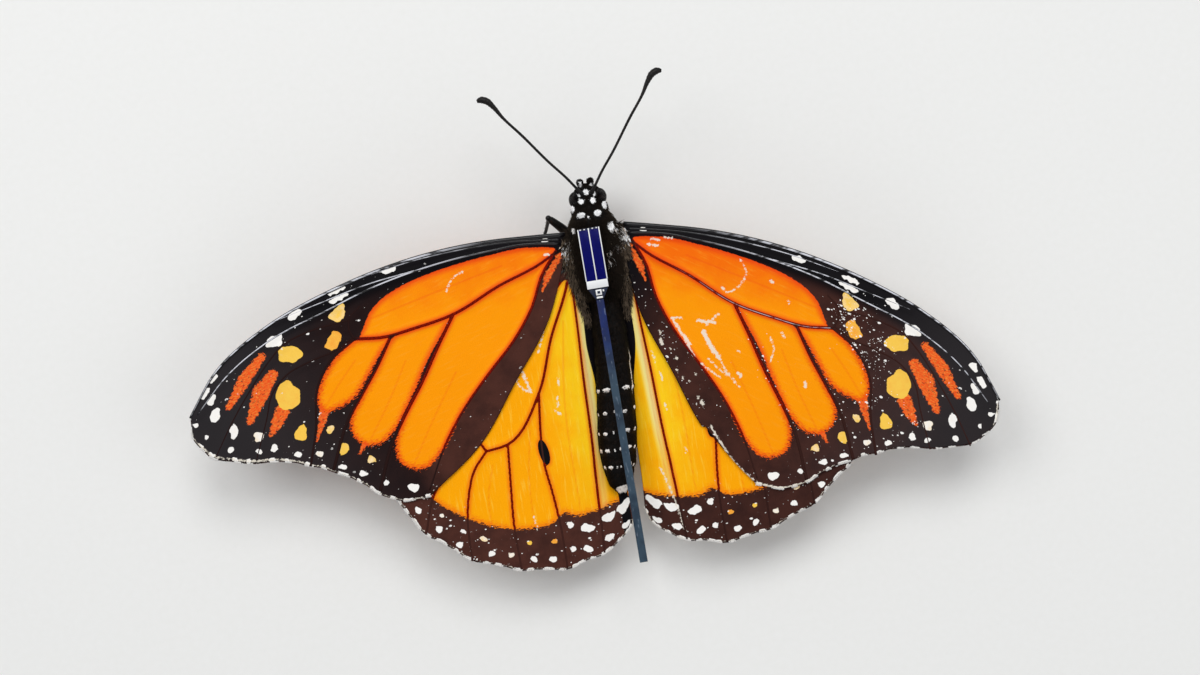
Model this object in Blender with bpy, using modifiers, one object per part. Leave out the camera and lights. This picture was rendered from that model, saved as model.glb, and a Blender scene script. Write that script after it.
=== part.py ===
"""A life-size monarch butterfly, basking with its wings spread flat, with a small solar radio tag on its back.

The insect stands on four legs on the floor, z = 0. +Y is its head, +X its right side. Lengths in this
script are millimetres, measured from the point on the floor below the middle of the thorax, until
MM turns them into Blender's metres.
"""

import math

import bmesh
import bpy
import numpy as np

MM = 0.001
SIDES = {"left": -1, "right": 1}

# Where the middle of the thorax stands, so that the whole model is centred on the origin.
THORAX_AT = (3.59, 9.30, 0.0)

# The body, as rows of: y, centre x, centre z, half width, half height. The abdomen bends a little left.
BODY = np.array(
    [
        (-30.7, -1.78, 6.90, 0.50, 0.50),
        (-29.9, -1.78, 6.92, 1.20, 1.15),
        (-28.4, -1.68, 6.95, 1.75, 1.70),
        (-26.6, -1.54, 7.00, 2.15, 2.10),
        (-24.1, -1.32, 7.05, 2.40, 2.35),
        (-20.1, -0.83, 7.10, 2.35, 2.35),
        (-14.4, -0.26, 7.15, 2.25, 2.30),
        (-9.5, -0.05, 7.20, 2.15, 2.25),
        (-6.0, 0.00, 7.25, 2.10, 2.20),
        (-5.1, 0.00, 7.30, 2.35, 2.30),
        (-4.2, 0.00, 7.30, 2.95, 2.80),
        (-2.6, 0.00, 7.30, 3.50, 3.35),
        (-0.4, 0.00, 7.30, 3.70, 3.60),
        (1.8, 0.00, 7.30, 3.60, 3.50),
        (3.4, 0.00, 7.30, 3.10, 3.10),
        (4.6, 0.00, 7.30, 2.55, 2.60),
        (5.6, 0.00, 7.25, 2.20, 2.10),
        (6.6, 0.00, 7.20, 2.00, 1.90),
        (7.4, 0.00, 7.15, 1.85, 1.75),
        (8.0, 0.00, 7.10, 1.50, 1.35),
        (8.45, 0.00, 7.05, 0.90, 0.80),
    ]
)
BODY_SQUARENESS = 2.3  # exponent of the body's cross-section: 2 is an ellipse
WAIST_Y = -5.3
NECK_Y = 5.65
PARTING = 0.15  # the thin cuts between pieces of the body
EYE_PLANE = 1.32  # the head is flat beyond this half width, where the eyes sit
EYE_CENTRE = (1.45, 6.78, 7.25)
EYE_RADII = (0.97, 1.1, 1.45)

# Wings. Each outline is given once, for the right side, and mirrored.
WING_THICKNESS = 0.5
WING_GAP = 0.8  # between the middle surfaces of a forewing and the hindwing below it
WING_ROOT_Z = 8.9
WING_ROOT_X = 3.4
WING_RISE = 0.12  # slope of the wings at the root
WING_ARCH = 0.0012  # how fast that slope falls off towards the tip, per mm
WING_PITCH = 0.04  # the wings' hind edges hang a little lower
# Forewing outline in the wing's own frame: x from the hinge to the tip, y forwards.
FOREWING_HINGE = (4.2, 1.9)
FOREWING_SWEEP = {"left": 17.2, "right": 35.2}  # degrees back from straight out
FOREWING_COSTA = [
    (-0.75, 0.5),
    (2.6, 1.8),
    (9.5, 4.3),
    (17.5, 6.2),
    (28, 7.15),
    (37.5, 6.7),
    (45.5, 4.6),
    (51.0, 0.9),
]
FOREWING_DORSUM = [
    (0.25, -1.4),
    (1.7, -3.5),
    (5.5, -8.0),
    (13, -13.5),
    (20, -18.4),
    (28.6, -21.5),
]
FOREWING_TERMEN = [
    (28.6, -21.5),
    (32.2, -20.6),
    (35.0, -17.3),
    (38.6, -12.8),
    (43.4, -9.3),
    (48.6, -6.7),
    (51.4, -4.0),
    (52.1, -1.5),
    (51.0, 0.9),
]
# Hindwing outline in the body's frame.
HINDWING_COSTA = [(3.85, -0.6), (10, -2.6), (18, -6.6), (25, -11.2), (29.8, -15.8)]
HINDWING_INNER = [
    (3.75, -3.3),
    (3.2, -6.6),
    (2.55, -14),
    (1.85, -21),
    (1.2, -27),
    (0.8, -31.5),
    (0.65, -33.2),
]
HINDWING_TERMEN = [
    (0.65, -33.2),
    (1.2, -35.1),
    (3.2, -36.9),
    (6.2, -38.2),
    (10.8, -39.0),
    (15.6, -38.2),
    (20.5, -36.5),
    (24.5, -33.8),
    (28.0, -30.2),
    (30.3, -25.5),
    (31.0, -20.5),
    (29.8, -15.8),
]
# The hindwings sag into a trough below the abdomen, which is shallower again past its tip.
TROUGH_DEPTH = 3.7
TROUGH_WIDTH = 3.4
TROUGH_START = (2.5, 8.0)  # how far behind the middle of the thorax it begins, and is full
TROUGH_END = (30.0, 38.0)  # where it begins to ease off, and ends
TROUGH_LEFT = 0.5  # the share of its depth left at that end

# Legs, feelers and mouthparts: rows of x (outwards), y, z, radius.
MIDLEGS = {
    "left": [
        (2.0, 1.2, 3.55, 0.5),
        (3.6, 3.4, 4.9, 0.5),
        (5.35, 5.2, 6.1, 0.45),
        (5.85, 4.1, 3.4, 0.36),
        (6.7, 2.7, 0.95, 0.3),
        (7.8, 2.0, 0.24, 0.3),
        (9.7, 1.4, 0.12, 0.28),
        (11.5, 0.9, 0.1, 0.25),
    ],
    "right": [
        (2.1, 0.4, 3.45, 0.5),
        (4.1, 0.6, 4.6, 0.5),
        (6.2, 0.5, 5.6, 0.45),
        (8.2, 0.2, 3.1, 0.36),
        (10.1, -0.2, 0.95, 0.3),
        (11.4, -0.5, 0.24, 0.3),
        (13.1, -0.9, 0.12, 0.28),
        (14.7, -1.3, 0.1, 0.25),
    ],
}
HINDLEG = [
    (1.9, -2.2, 3.45, 0.5),
    (3.5, -4.8, 4.5, 0.5),
    (5.2, -7.6, 5.3, 0.45),
    (6.7, -11.0, 3.0, 0.36),
    (8.1, -14.4, 0.95, 0.3),
    (8.7, -15.9, 0.24, 0.3),
    (9.4, -17.7, 0.12, 0.28),
    (10.0, -19.4, 0.1, 0.25),
]
FORELEG = [
    (1.05, 3.0, 3.85, 0.28),
    (1.55, 4.0, 3.75, 0.3),
    (1.75, 5.1, 3.95, 0.28),
    (1.35, 6.2, 4.35, 0.27),
    (1.0, 6.9, 4.6, 0.25),
]
FEELER = [
    (0.65, 7.35, 9.2, 0.3),
    (2.2, 9.5, 9.75, 0.25),
    (4.0, 11.7, 10.3, 0.25),
    (6.8, 15.5, 11.1, 0.25),
    (8.9, 18.2, 11.6, 0.26),
    (9.7, 19.5, 11.75, 0.34),
    (10.5, 20.4, 11.85, 0.42),
    (11.1, 20.6, 11.85, 0.4),
    (11.6, 20.5, 11.85, 0.26),
]
PALP = [
    (0.6, 7.9, 5.0, 0.3),
    (0.62, 8.75, 5.7, 0.4),
    (0.65, 8.95, 6.7, 0.42),
    (0.68, 8.85, 7.6, 0.36),
    (0.7, 8.75, 8.2, 0.26),
]
PROBOSCIS_CENTRE = (0.0, 7.5, 3.95)
PROBOSCIS_RADII = (1.25, 0.35)  # of the coil, outside and at its inner end
PROBOSCIS_TURNS = 1.45
PROBOSCIS_THICKNESS = 0.5

# The radio tag, glued to the back left of its middle.
TAG_X = -0.59
TAG_FRONT_Y = 2.8
TAG_WIDTH = 2.75
TAG_LENGTH = 7.6
TAG_BOTTOM_Z = 11.0
BOARD_THICKNESS = 0.4
CELL_WIDTH = 1.12
CELL_LENGTH = 6.35
CELL_THICKNESS = 0.16
CELL_INSET = 0.22
TAIL_LENGTH = 1.3
TAIL_WIDTHS = (2.45, 0.95)
CHIP_SIZE = (0.75, 0.7, 0.3)
STRIP_LENGTH = 33.2
STRIP_WIDTHS = (0.75, 0.95)
STRIP_THICKNESS = 0.5
STRIP_DROP = 1.0  # how much lower the antenna strip's far end is
TAG_GAP = 0.06

BODY_BLACK = ("body", "#16130F", 0.85)
LEG_BLACK = ("leg", "#14110F", 0.5)
FOREWING_ORANGE = ("forewing_membrane", "#E8700F", 0.7)
HINDWING_ORANGE = ("hindwing_membrane", "#F09020", 0.7)
EYE_BLACK = ("eye", "#0C0A0B", 0.15)
BOARD_GREY = ("circuit_board", "#23293A", 0.45)
CELL_BLUE = ("solar_cell", "#0B0C5E", 0.2)
CHIP_WHITE = ("chip_case", "#E9E9E6", 0.4)
STRIP_SLATE = ("antenna_film", "#3B4A66", 0.35)


def smooth(knots, values, x):
    """Read a smooth curve through (knots, values) at x. The knots rise; values may have several columns."""
    knots = np.asarray(knots, float)
    values = np.asarray(values, float)
    step = np.diff(knots)
    slope = (np.diff(values, axis=0).T / step).T
    inner = ((slope[:-1].T * step[1:] + slope[1:].T * step[:-1]) / (step[1:] + step[:-1])).T
    tangent = np.concatenate([slope[:1], inner, slope[-1:]])
    x = np.clip(x, knots[0], knots[-1])
    i = int(np.clip(np.searchsorted(knots, x, side="right") - 1, 0, len(step) - 1))
    h = step[i]
    f = (x - knots[i]) / h
    start = (1 + 2 * f) * (1 - f) ** 2 * values[i] + f * (1 - f) ** 2 * h * tangent[i]
    end = f**2 * (3 - 2 * f) * values[i + 1] - f**2 * (1 - f) * h * tangent[i + 1]
    return start + end


def along(points, t):
    """The point at fraction t, by length, of a smooth curve through the points."""
    points = np.asarray(points, float)
    lengths = np.linalg.norm(np.diff(points[:, :3], axis=0), axis=1)
    knots = np.concatenate([[0.0], np.cumsum(lengths)])
    return smooth(knots, points, t * knots[-1])


def ramp(x, start, end):
    """0 before start, 1 after end, with a smooth rise between."""
    t = min(max((x - start) / (end - start), 0.0), 1.0)
    return t * t * (3 - 2 * t)


def body_at(y):
    """Centre x, centre z, half width and half height of the body at y."""
    return smooth(BODY[:, 0], BODY[:, 1:], y)


def clear_scene():
    for obj in list(bpy.data.objects):
        bpy.data.objects.remove(obj, do_unlink=True)


def linear(channel):
    return channel / 12.92 if channel <= 0.04045 else ((channel + 0.055) / 1.055) ** 2.4


def material(name, hex_colour, roughness):
    """A Principled material, made once for each name."""
    found = bpy.data.materials.get(name)
    if found:
        return found
    made = bpy.data.materials.new(name)
    made.use_nodes = True
    shader = made.node_tree.nodes["Principled BSDF"]
    rgb = [linear(int(hex_colour[i : i + 2], 16) / 255) for i in (1, 3, 5)]
    shader.inputs["Base Color"].default_value = (*rgb, 1.0)
    shader.inputs["Roughness"].default_value = roughness
    return made


def new_object(name, data, finish):
    """Link an object to the butterfly's collection, under the empty at the thorax."""
    obj = bpy.data.objects.new(name, data)
    data.materials.append(material(*finish))
    bpy.data.collections["monarch_butterfly"].objects.link(obj)
    obj.parent = bpy.data.objects["thorax_place"]
    return obj


def mesh_object(name, bm, finish, sharp_degrees=40):
    """Turn a bmesh drawn in millimetres into a named object."""
    bmesh.ops.scale(bm, vec=(MM, MM, MM), verts=bm.verts)
    mesh = bpy.data.meshes.new(name)
    bm.to_mesh(mesh)
    bm.free()
    mesh.shade_smooth()
    mesh.set_sharp_from_angle(angle=math.radians(sharp_degrees))
    return new_object(name, mesh, finish)


def tube(name, rows, count, finish, bevel_resolution=2):
    """A round limb along rows of (x, y, z, radius), as a curve with a bevel and filled caps."""
    curve = bpy.data.curves.new(name, "CURVE")
    curve.dimensions = "3D"
    curve.bevel_depth = MM
    curve.bevel_resolution = bevel_resolution
    curve.use_fill_caps = True
    line = curve.splines.new("POLY")
    line.points.add(count - 1)
    for i, point in enumerate(line.points):
        x, y, z, radius = along(rows, i / (count - 1))
        point.co = (x * MM, y * MM, z * MM, 1.0)
        point.radius = radius
    return new_object(name, curve, finish)


def mirrored(rows, side):
    return [(side * x, *rest) for x, *rest in rows]


def body_section(name, y_start, y_end, rings, sides, finish, widest=None):
    """One length of the body: a grid wrapped round its cross-sections, with a flat cap at each end."""
    bm = bmesh.new()
    bmesh.ops.create_grid(bm, x_segments=rings, y_segments=sides, size=0.5)
    for vert in bm.verts:
        y = y_start + (y_end - y_start) * (vert.co.x + 0.5)
        turn = 2 * math.pi * (vert.co.y + 0.5)
        centre_x, centre_z, half_width, half_height = body_at(y)
        cos, sin = math.cos(turn), math.sin(turn)
        x = half_width * math.copysign(abs(cos) ** (2 / BODY_SQUARENESS), cos)
        z = half_height * math.copysign(abs(sin) ** (2 / BODY_SQUARENESS), sin)
        if widest:
            x = min(max(x, -widest), widest)
        vert.co = (centre_x + x, y, centre_z + z)
    bmesh.ops.remove_doubles(bm, verts=bm.verts, dist=1e-4)
    bmesh.ops.holes_fill(bm, edges=bm.edges, sides=0)
    bmesh.ops.recalc_face_normals(bm, faces=bm.faces)
    return mesh_object(name, bm, finish)


def make_body():
    tail_y = BODY[0, 0]
    face_y = BODY[-1, 0]
    body_section("abdomen", tail_y, WAIST_Y - PARTING / 2, 18, 16, BODY_BLACK)
    body_section("thorax", WAIST_Y + PARTING / 2, NECK_Y - PARTING / 2, 14, 18, BODY_BLACK)
    body_section("head", NECK_Y + PARTING / 2, face_y, 7, 16, BODY_BLACK, widest=EYE_PLANE)


def make_eye(side_name, side):
    """A domed compound eye, flat where it meets the side of the head."""
    bm = bmesh.new()
    bmesh.ops.create_uvsphere(bm, u_segments=14, v_segments=10, radius=1.0)
    everything = bm.verts[:] + bm.edges[:] + bm.faces[:]
    bmesh.ops.bisect_plane(bm, geom=everything, plane_co=(0, 0, 0), plane_no=(side, 0, 0), clear_inner=True)
    bmesh.ops.holes_fill(bm, edges=bm.edges, sides=0)
    bmesh.ops.scale(bm, vec=EYE_RADII, verts=bm.verts)
    bmesh.ops.translate(bm, vec=(side * EYE_CENTRE[0], *EYE_CENTRE[1:]), verts=bm.verts)
    bmesh.ops.recalc_face_normals(bm, faces=bm.faces)
    mesh_object(f"eye_{side_name}", bm, EYE_BLACK)


def make_proboscis():
    """The tongue, wound up like a watch spring under the face."""
    steps = 26
    outer, inner = PROBOSCIS_RADII
    rows = []
    for i in range(steps):
        t = i / (steps - 1)
        turn = math.radians(70) + 2 * math.pi * PROBOSCIS_TURNS * t
        radius = outer + (inner - outer) * t
        y = PROBOSCIS_CENTRE[1] + radius * math.cos(turn)
        z = PROBOSCIS_CENTRE[2] + radius * math.sin(turn)
        rows.append((PROBOSCIS_CENTRE[0], y, z, PROBOSCIS_THICKNESS / 2))
    tube("proboscis", rows, 26, BODY_BLACK)


def make_leg(name, rows, side):
    """A standing leg. Its foot lies along the floor and is flat underneath."""
    guide = tube(name, mirrored(rows, side), 20, LEG_BLACK)
    graph = bpy.context.evaluated_depsgraph_get()
    mesh = bpy.data.meshes.new_from_object(guide.evaluated_get(graph))
    bpy.data.objects.remove(guide, do_unlink=True)
    bm = bmesh.new()
    bm.from_mesh(mesh)
    bpy.data.meshes.remove(mesh)
    bmesh.ops.scale(bm, vec=(1 / MM, 1 / MM, 1 / MM), verts=bm.verts)
    bmesh.ops.remove_doubles(bm, verts=bm.verts, dist=1e-3)
    for vert in bm.verts:
        vert.co.z = max(vert.co.z, 0.0)
    mesh_object(name, bm, LEG_BLACK)


def wing_height(x, y):
    """Height of the wings' common surface: a shallow V, arched towards the tips."""
    out = abs(x) - WING_ROOT_X
    return WING_ROOT_Z + WING_PITCH * y + WING_RISE * out - WING_ARCH * out * abs(out)


def trough(x, y):
    """How far the hindwings sag below that surface, over the abdomen's line."""
    depth = TROUGH_DEPTH * ramp(-y, *TROUGH_START) * (1 - (1 - TROUGH_LEFT) * ramp(-y, *TROUGH_END))
    away = (x - body_at(y)[0]) / TROUGH_WIDTH
    return depth * math.exp(-(away**2))


def patch(inner, outer, rim, u, w):
    """A Coons patch: w runs from root to rim, u from the inner edge to the outer one."""
    inner, outer, rim = np.array(inner, float), np.array(outer, float), np.array(rim, float)
    across = (1 - u) * along(inner, w) + u * along(outer, w)
    down = (1 - w) * ((1 - u) * inner[0] + u * outer[0]) + w * along(rim, u)
    corners = (1 - w) * ((1 - u) * inner[0] + u * outer[0]) + w * ((1 - u) * inner[-1] + u * outer[-1])
    return across + down - corners


def forewing_point(u, w, side_name, side):
    a, b = patch(FOREWING_DORSUM, FOREWING_COSTA, FOREWING_TERMEN, u, w)
    sweep = math.radians(FOREWING_SWEEP[side_name])
    x = side * (FOREWING_HINGE[0] + a * math.cos(sweep) + b * math.sin(sweep))
    y = FOREWING_HINGE[1] - a * math.sin(sweep) + b * math.cos(sweep)
    return x, y, wing_height(x, y) + WING_GAP / 2


def hindwing_point(u, w, side_name, side):
    out, y = patch(HINDWING_INNER, HINDWING_COSTA, HINDWING_TERMEN, u, w)
    x = side * out
    return x, y, wing_height(x, y) - WING_GAP / 2 - trough(x, y)


def make_wing(name, point, side_name, side, across, outwards, finish):
    """A wing: a grid shaped by its point function, thickened evenly to both sides."""
    bm = bmesh.new()
    bmesh.ops.create_grid(bm, x_segments=across, y_segments=outwards, size=0.5)
    for vert in bm.verts:
        vert.co = point(vert.co.x + 0.5, vert.co.y + 0.5, side_name, side)
    wing = mesh_object(f"{name}_{side_name}", bm, finish)
    solid = wing.modifiers.new("thickness", "SOLIDIFY")
    solid.thickness = WING_THICKNESS * MM
    solid.offset = 0.0
    solid.use_even_offset = True


def make_limbs():
    for side_name, side in SIDES.items():
        make_wing("forewing", forewing_point, side_name, side, 16, 16, FOREWING_ORANGE)
        make_wing("hindwing", hindwing_point, side_name, side, 18, 14, HINDWING_ORANGE)
        make_leg(f"midleg_{side_name}", MIDLEGS[side_name], side)
        make_leg(f"hindleg_{side_name}", HINDLEG, side)
        tube(f"foreleg_{side_name}", mirrored(FORELEG, side), 8, LEG_BLACK)
        tube(f"feeler_{side_name}", mirrored(FEELER, side), 18, LEG_BLACK)
        tube(f"palp_{side_name}", mirrored(PALP, side), 9, BODY_BLACK)
        make_eye(side_name, side)


def block(name, centre, size, finish, far_width=None, far_drop=0.0):
    """A box whose rear end may be narrower and lower than its front."""
    bm = bmesh.new()
    bmesh.ops.create_cube(bm, size=1.0)
    for vert in bm.verts:
        if vert.co.y < 0 and far_width is not None:
            vert.co.x *= far_width / size[0]
            vert.co.z -= far_drop / size[2]
    bmesh.ops.scale(bm, vec=size, verts=bm.verts)
    bmesh.ops.translate(bm, vec=centre, verts=bm.verts)
    return mesh_object(name, bm, finish, sharp_degrees=30)


def make_tag():
    """The board, its two solar cells, the tapered tail with a small chip, and the flat antenna strip."""
    top = TAG_BOTTOM_Z + BOARD_THICKNESS
    rear_y = TAG_FRONT_Y - TAG_LENGTH
    board_z = TAG_BOTTOM_Z + BOARD_THICKNESS / 2
    board_at = (TAG_X, (TAG_FRONT_Y + rear_y) / 2, board_z)
    block("tag_board", board_at, (TAG_WIDTH, TAG_LENGTH, BOARD_THICKNESS), BOARD_GREY)
    cell_z = top + TAG_GAP + CELL_THICKNESS / 2
    cell_y = TAG_FRONT_Y - CELL_INSET - CELL_LENGTH / 2
    for side_name, side in SIDES.items():
        cell_x = TAG_X + side * TAG_WIDTH / 4
        block(f"tag_cell_{side_name}", (cell_x, cell_y, cell_z), (CELL_WIDTH, CELL_LENGTH, CELL_THICKNESS), CELL_BLUE)
    tail_y = rear_y - TAG_GAP - TAIL_LENGTH / 2
    tail_size = (TAIL_WIDTHS[0], TAIL_LENGTH, BOARD_THICKNESS)
    block("tag_tail", (TAG_X, tail_y, board_z), tail_size, BOARD_GREY, far_width=TAIL_WIDTHS[1])
    chip_z = top + TAG_GAP + CHIP_SIZE[2] / 2
    block("tag_chip", (TAG_X, tail_y + 0.2, chip_z), CHIP_SIZE, CHIP_WHITE)
    strip_front = tail_y - TAIL_LENGTH / 2 - TAG_GAP
    strip_at = (TAG_X, strip_front - STRIP_LENGTH / 2, board_z)
    strip_size = (STRIP_WIDTHS[0], STRIP_LENGTH, STRIP_THICKNESS)
    block("tag_antenna", strip_at, strip_size, STRIP_SLATE, far_width=STRIP_WIDTHS[1], far_drop=STRIP_DROP)


def main():
    clear_scene()
    collection = bpy.data.collections.new("monarch_butterfly")
    bpy.context.scene.collection.children.link(collection)
    place = bpy.data.objects.new("thorax_place", None)
    place.location = [value * MM for value in THORAX_AT]
    collection.objects.link(place)
    make_body()
    make_proboscis()
    make_limbs()
    make_tag()


main()
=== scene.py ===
"""The looks of a life-size monarch butterfly that wears a small solar radio tag.

Run as a script, it builds the butterfly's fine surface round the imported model: four scaled wings with
their veins and fringes, one skin for head, thorax and abdomen with its coat of hair and scales, eyes,
feelers, mouthparts, legs and the tag. Lengths are millimetres from the floor point below the middle of
the thorax, with the head towards +Y and the right side towards +X, until in_frame() places them.
"""

import math

import bmesh
import bpy
import numpy as np
from bpy.props import FloatProperty, FloatVectorProperty, IntProperty, PointerProperty
from mathutils import Matrix, Vector


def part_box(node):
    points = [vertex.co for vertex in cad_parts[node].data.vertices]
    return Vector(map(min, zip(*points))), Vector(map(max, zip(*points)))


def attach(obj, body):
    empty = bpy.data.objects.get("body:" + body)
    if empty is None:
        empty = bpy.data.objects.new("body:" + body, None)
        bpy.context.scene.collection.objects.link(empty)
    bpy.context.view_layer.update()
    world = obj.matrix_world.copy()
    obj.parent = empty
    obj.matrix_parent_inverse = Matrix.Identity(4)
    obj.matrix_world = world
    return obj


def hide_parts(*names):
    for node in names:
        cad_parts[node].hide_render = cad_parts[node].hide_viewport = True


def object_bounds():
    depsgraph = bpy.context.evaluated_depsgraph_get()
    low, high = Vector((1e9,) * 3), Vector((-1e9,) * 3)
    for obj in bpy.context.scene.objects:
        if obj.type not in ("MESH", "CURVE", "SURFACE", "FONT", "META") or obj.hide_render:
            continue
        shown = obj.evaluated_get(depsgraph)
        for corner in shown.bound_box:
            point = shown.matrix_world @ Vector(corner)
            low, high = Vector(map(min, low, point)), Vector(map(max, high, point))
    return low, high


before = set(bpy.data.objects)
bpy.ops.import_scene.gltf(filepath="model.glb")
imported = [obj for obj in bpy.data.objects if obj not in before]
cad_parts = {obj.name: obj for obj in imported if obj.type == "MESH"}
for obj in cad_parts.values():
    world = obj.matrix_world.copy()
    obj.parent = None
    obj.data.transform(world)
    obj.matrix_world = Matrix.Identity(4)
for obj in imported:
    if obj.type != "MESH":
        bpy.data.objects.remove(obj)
CAD_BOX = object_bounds()

bl_info = {
    "name": "Monarch butterfly with a solar tag",
    "version": (1, 0, 0),
    "blender": (4, 5, 0),
    "location": "3D View > Sidebar > Butterfly",
    "description": "Builds the looks of a monarch butterfly round its packed solids",
    "category": "Object",
}

MM = 0.001
FAR = 9.0  # millimetres, further than any marking reaches
SIDES = {"left": -1, "right": 1}

# The body's cross-sections: y, centre x, centre z, half width, half height.
BODY = np.array([
    (-30.7, -1.78, 6.9, 0.5, 0.5), (-29.9, -1.78, 6.92, 1.2, 1.15), (-28.4, -1.68, 6.95, 1.75, 1.7),
    (-26.6, -1.54, 7, 2.15, 2.1), (-24.1, -1.32, 7.05, 2.4, 2.35), (-20.1, -0.83, 7.1, 2.35, 2.35),
    (-14.4, -0.26, 7.15, 2.25, 2.3), (-9.5, -0.05, 7.2, 2.15, 2.25), (-6, 0, 7.25, 2.1, 2.2),
    (-5.1, 0, 7.3, 2.35, 2.3), (-4.2, 0, 7.3, 2.95, 2.8), (-2.6, 0, 7.3, 3.5, 3.35),
    (-0.4, 0, 7.3, 3.7, 3.6), (1.8, 0, 7.3, 3.6, 3.5), (3.4, 0, 7.3, 3.1, 3.1), (4.6, 0, 7.3, 2.55, 2.6),
    (5.6, 0, 7.25, 2.2, 2.1), (6.6, 0, 7.2, 2, 1.9), (7.4, 0, 7.15, 1.85, 1.75), (8, 0, 7.1, 1.5, 1.35),
    (8.45, 0, 7.05, 0.9, 0.8),
])
BODY_SQUARENESS = 2.3  # exponent of the cross-section: 2 is an ellipse
WAIST_Y = -5.3
NECK_Y = 5.65
# The coat's depth over the skin, as rows of y and depth.
COAT_DEPTH = np.array([
    (-31, 0.1), (-8, 0.14), (-5, 0.3), (-3, 0.42), (2.5, 0.42), (4.5, 0.2), (6.5, 0.14), (9, 0.12),
])
# The rear edges of the abdomen's rings, each a little proud of the next ring.
RING_EDGES = (-7.2, -10.9, -14.4, -17.9, -20.6, -23.1, -25.3, -27.5, -29.6)
EYE_CENTRE = (1.45, 6.78, 7.25)
EYE_RADII = (0.97, 1.1, 1.45)

WING_GAP = 0.8  # between the middle of a forewing's solid and of the hindwing's below it
WING_CLOSENESS = 0.18  # how much nearer each other the thin membranes lie than those middles
# A wing rises outwards from its root and forwards, and levels out with the square of its distance.
WING_ROOT_X, WING_ROOT_Z = 3.4, 8.9
WING_RISE, WING_PITCH, WING_ARCH = 0.12, 0.04, 0.0012
# The hindwing's trough beside the abdomen, and how far back from the thorax it starts and ends.
TROUGH_DEPTH, TROUGH_WIDTH = 1.2, 3.4
TROUGH_START, TROUGH_END = (2.5, 8.0), (30.0, 38.0)
TROUGH_LEFT = 0.5  # share of the depth that is left at the end
PLEAT = 0.15  # how far a vein stands above the hollow of the membrane beside it
PLEAT_REACH = 1.0  # how far from a vein that hollow is reached

NICK_DEPTH = 0.4  # of the nick in the right forewing's inner edge
NICK_START = (19.3, 19.6)  # where along the wing it begins
NICK_END = (20.5, 27.0)

FOREWING_HINGE = (4.2, 1.9)
FOREWING_SWEEP = {"left": 17.2, "right": 35.2}  # degrees back from straight out
# How far, in degrees, each wing's markings lean forwards.
WING_TURN = {"forewing_left": 0.6, "forewing_right": -0.43, "hindwing_left": 0.0, "hindwing_right": 0.0}
SCALLOP = 0.28  # how far the rim is cut back between the veins
SCALLOP_TOWARDS = (8.0, -8.0)  # the point of the wing that it is cut back towards
WING_STEPS_ACROSS = 140  # grid cells from the inner edge to the leading one
WING_STEPS_OUT = {"forewing": 280, "hindwing": 180}  # and from the root to the rim
FRINGE_PITCH = 0.045  # between two hair scales of the fringe

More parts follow.
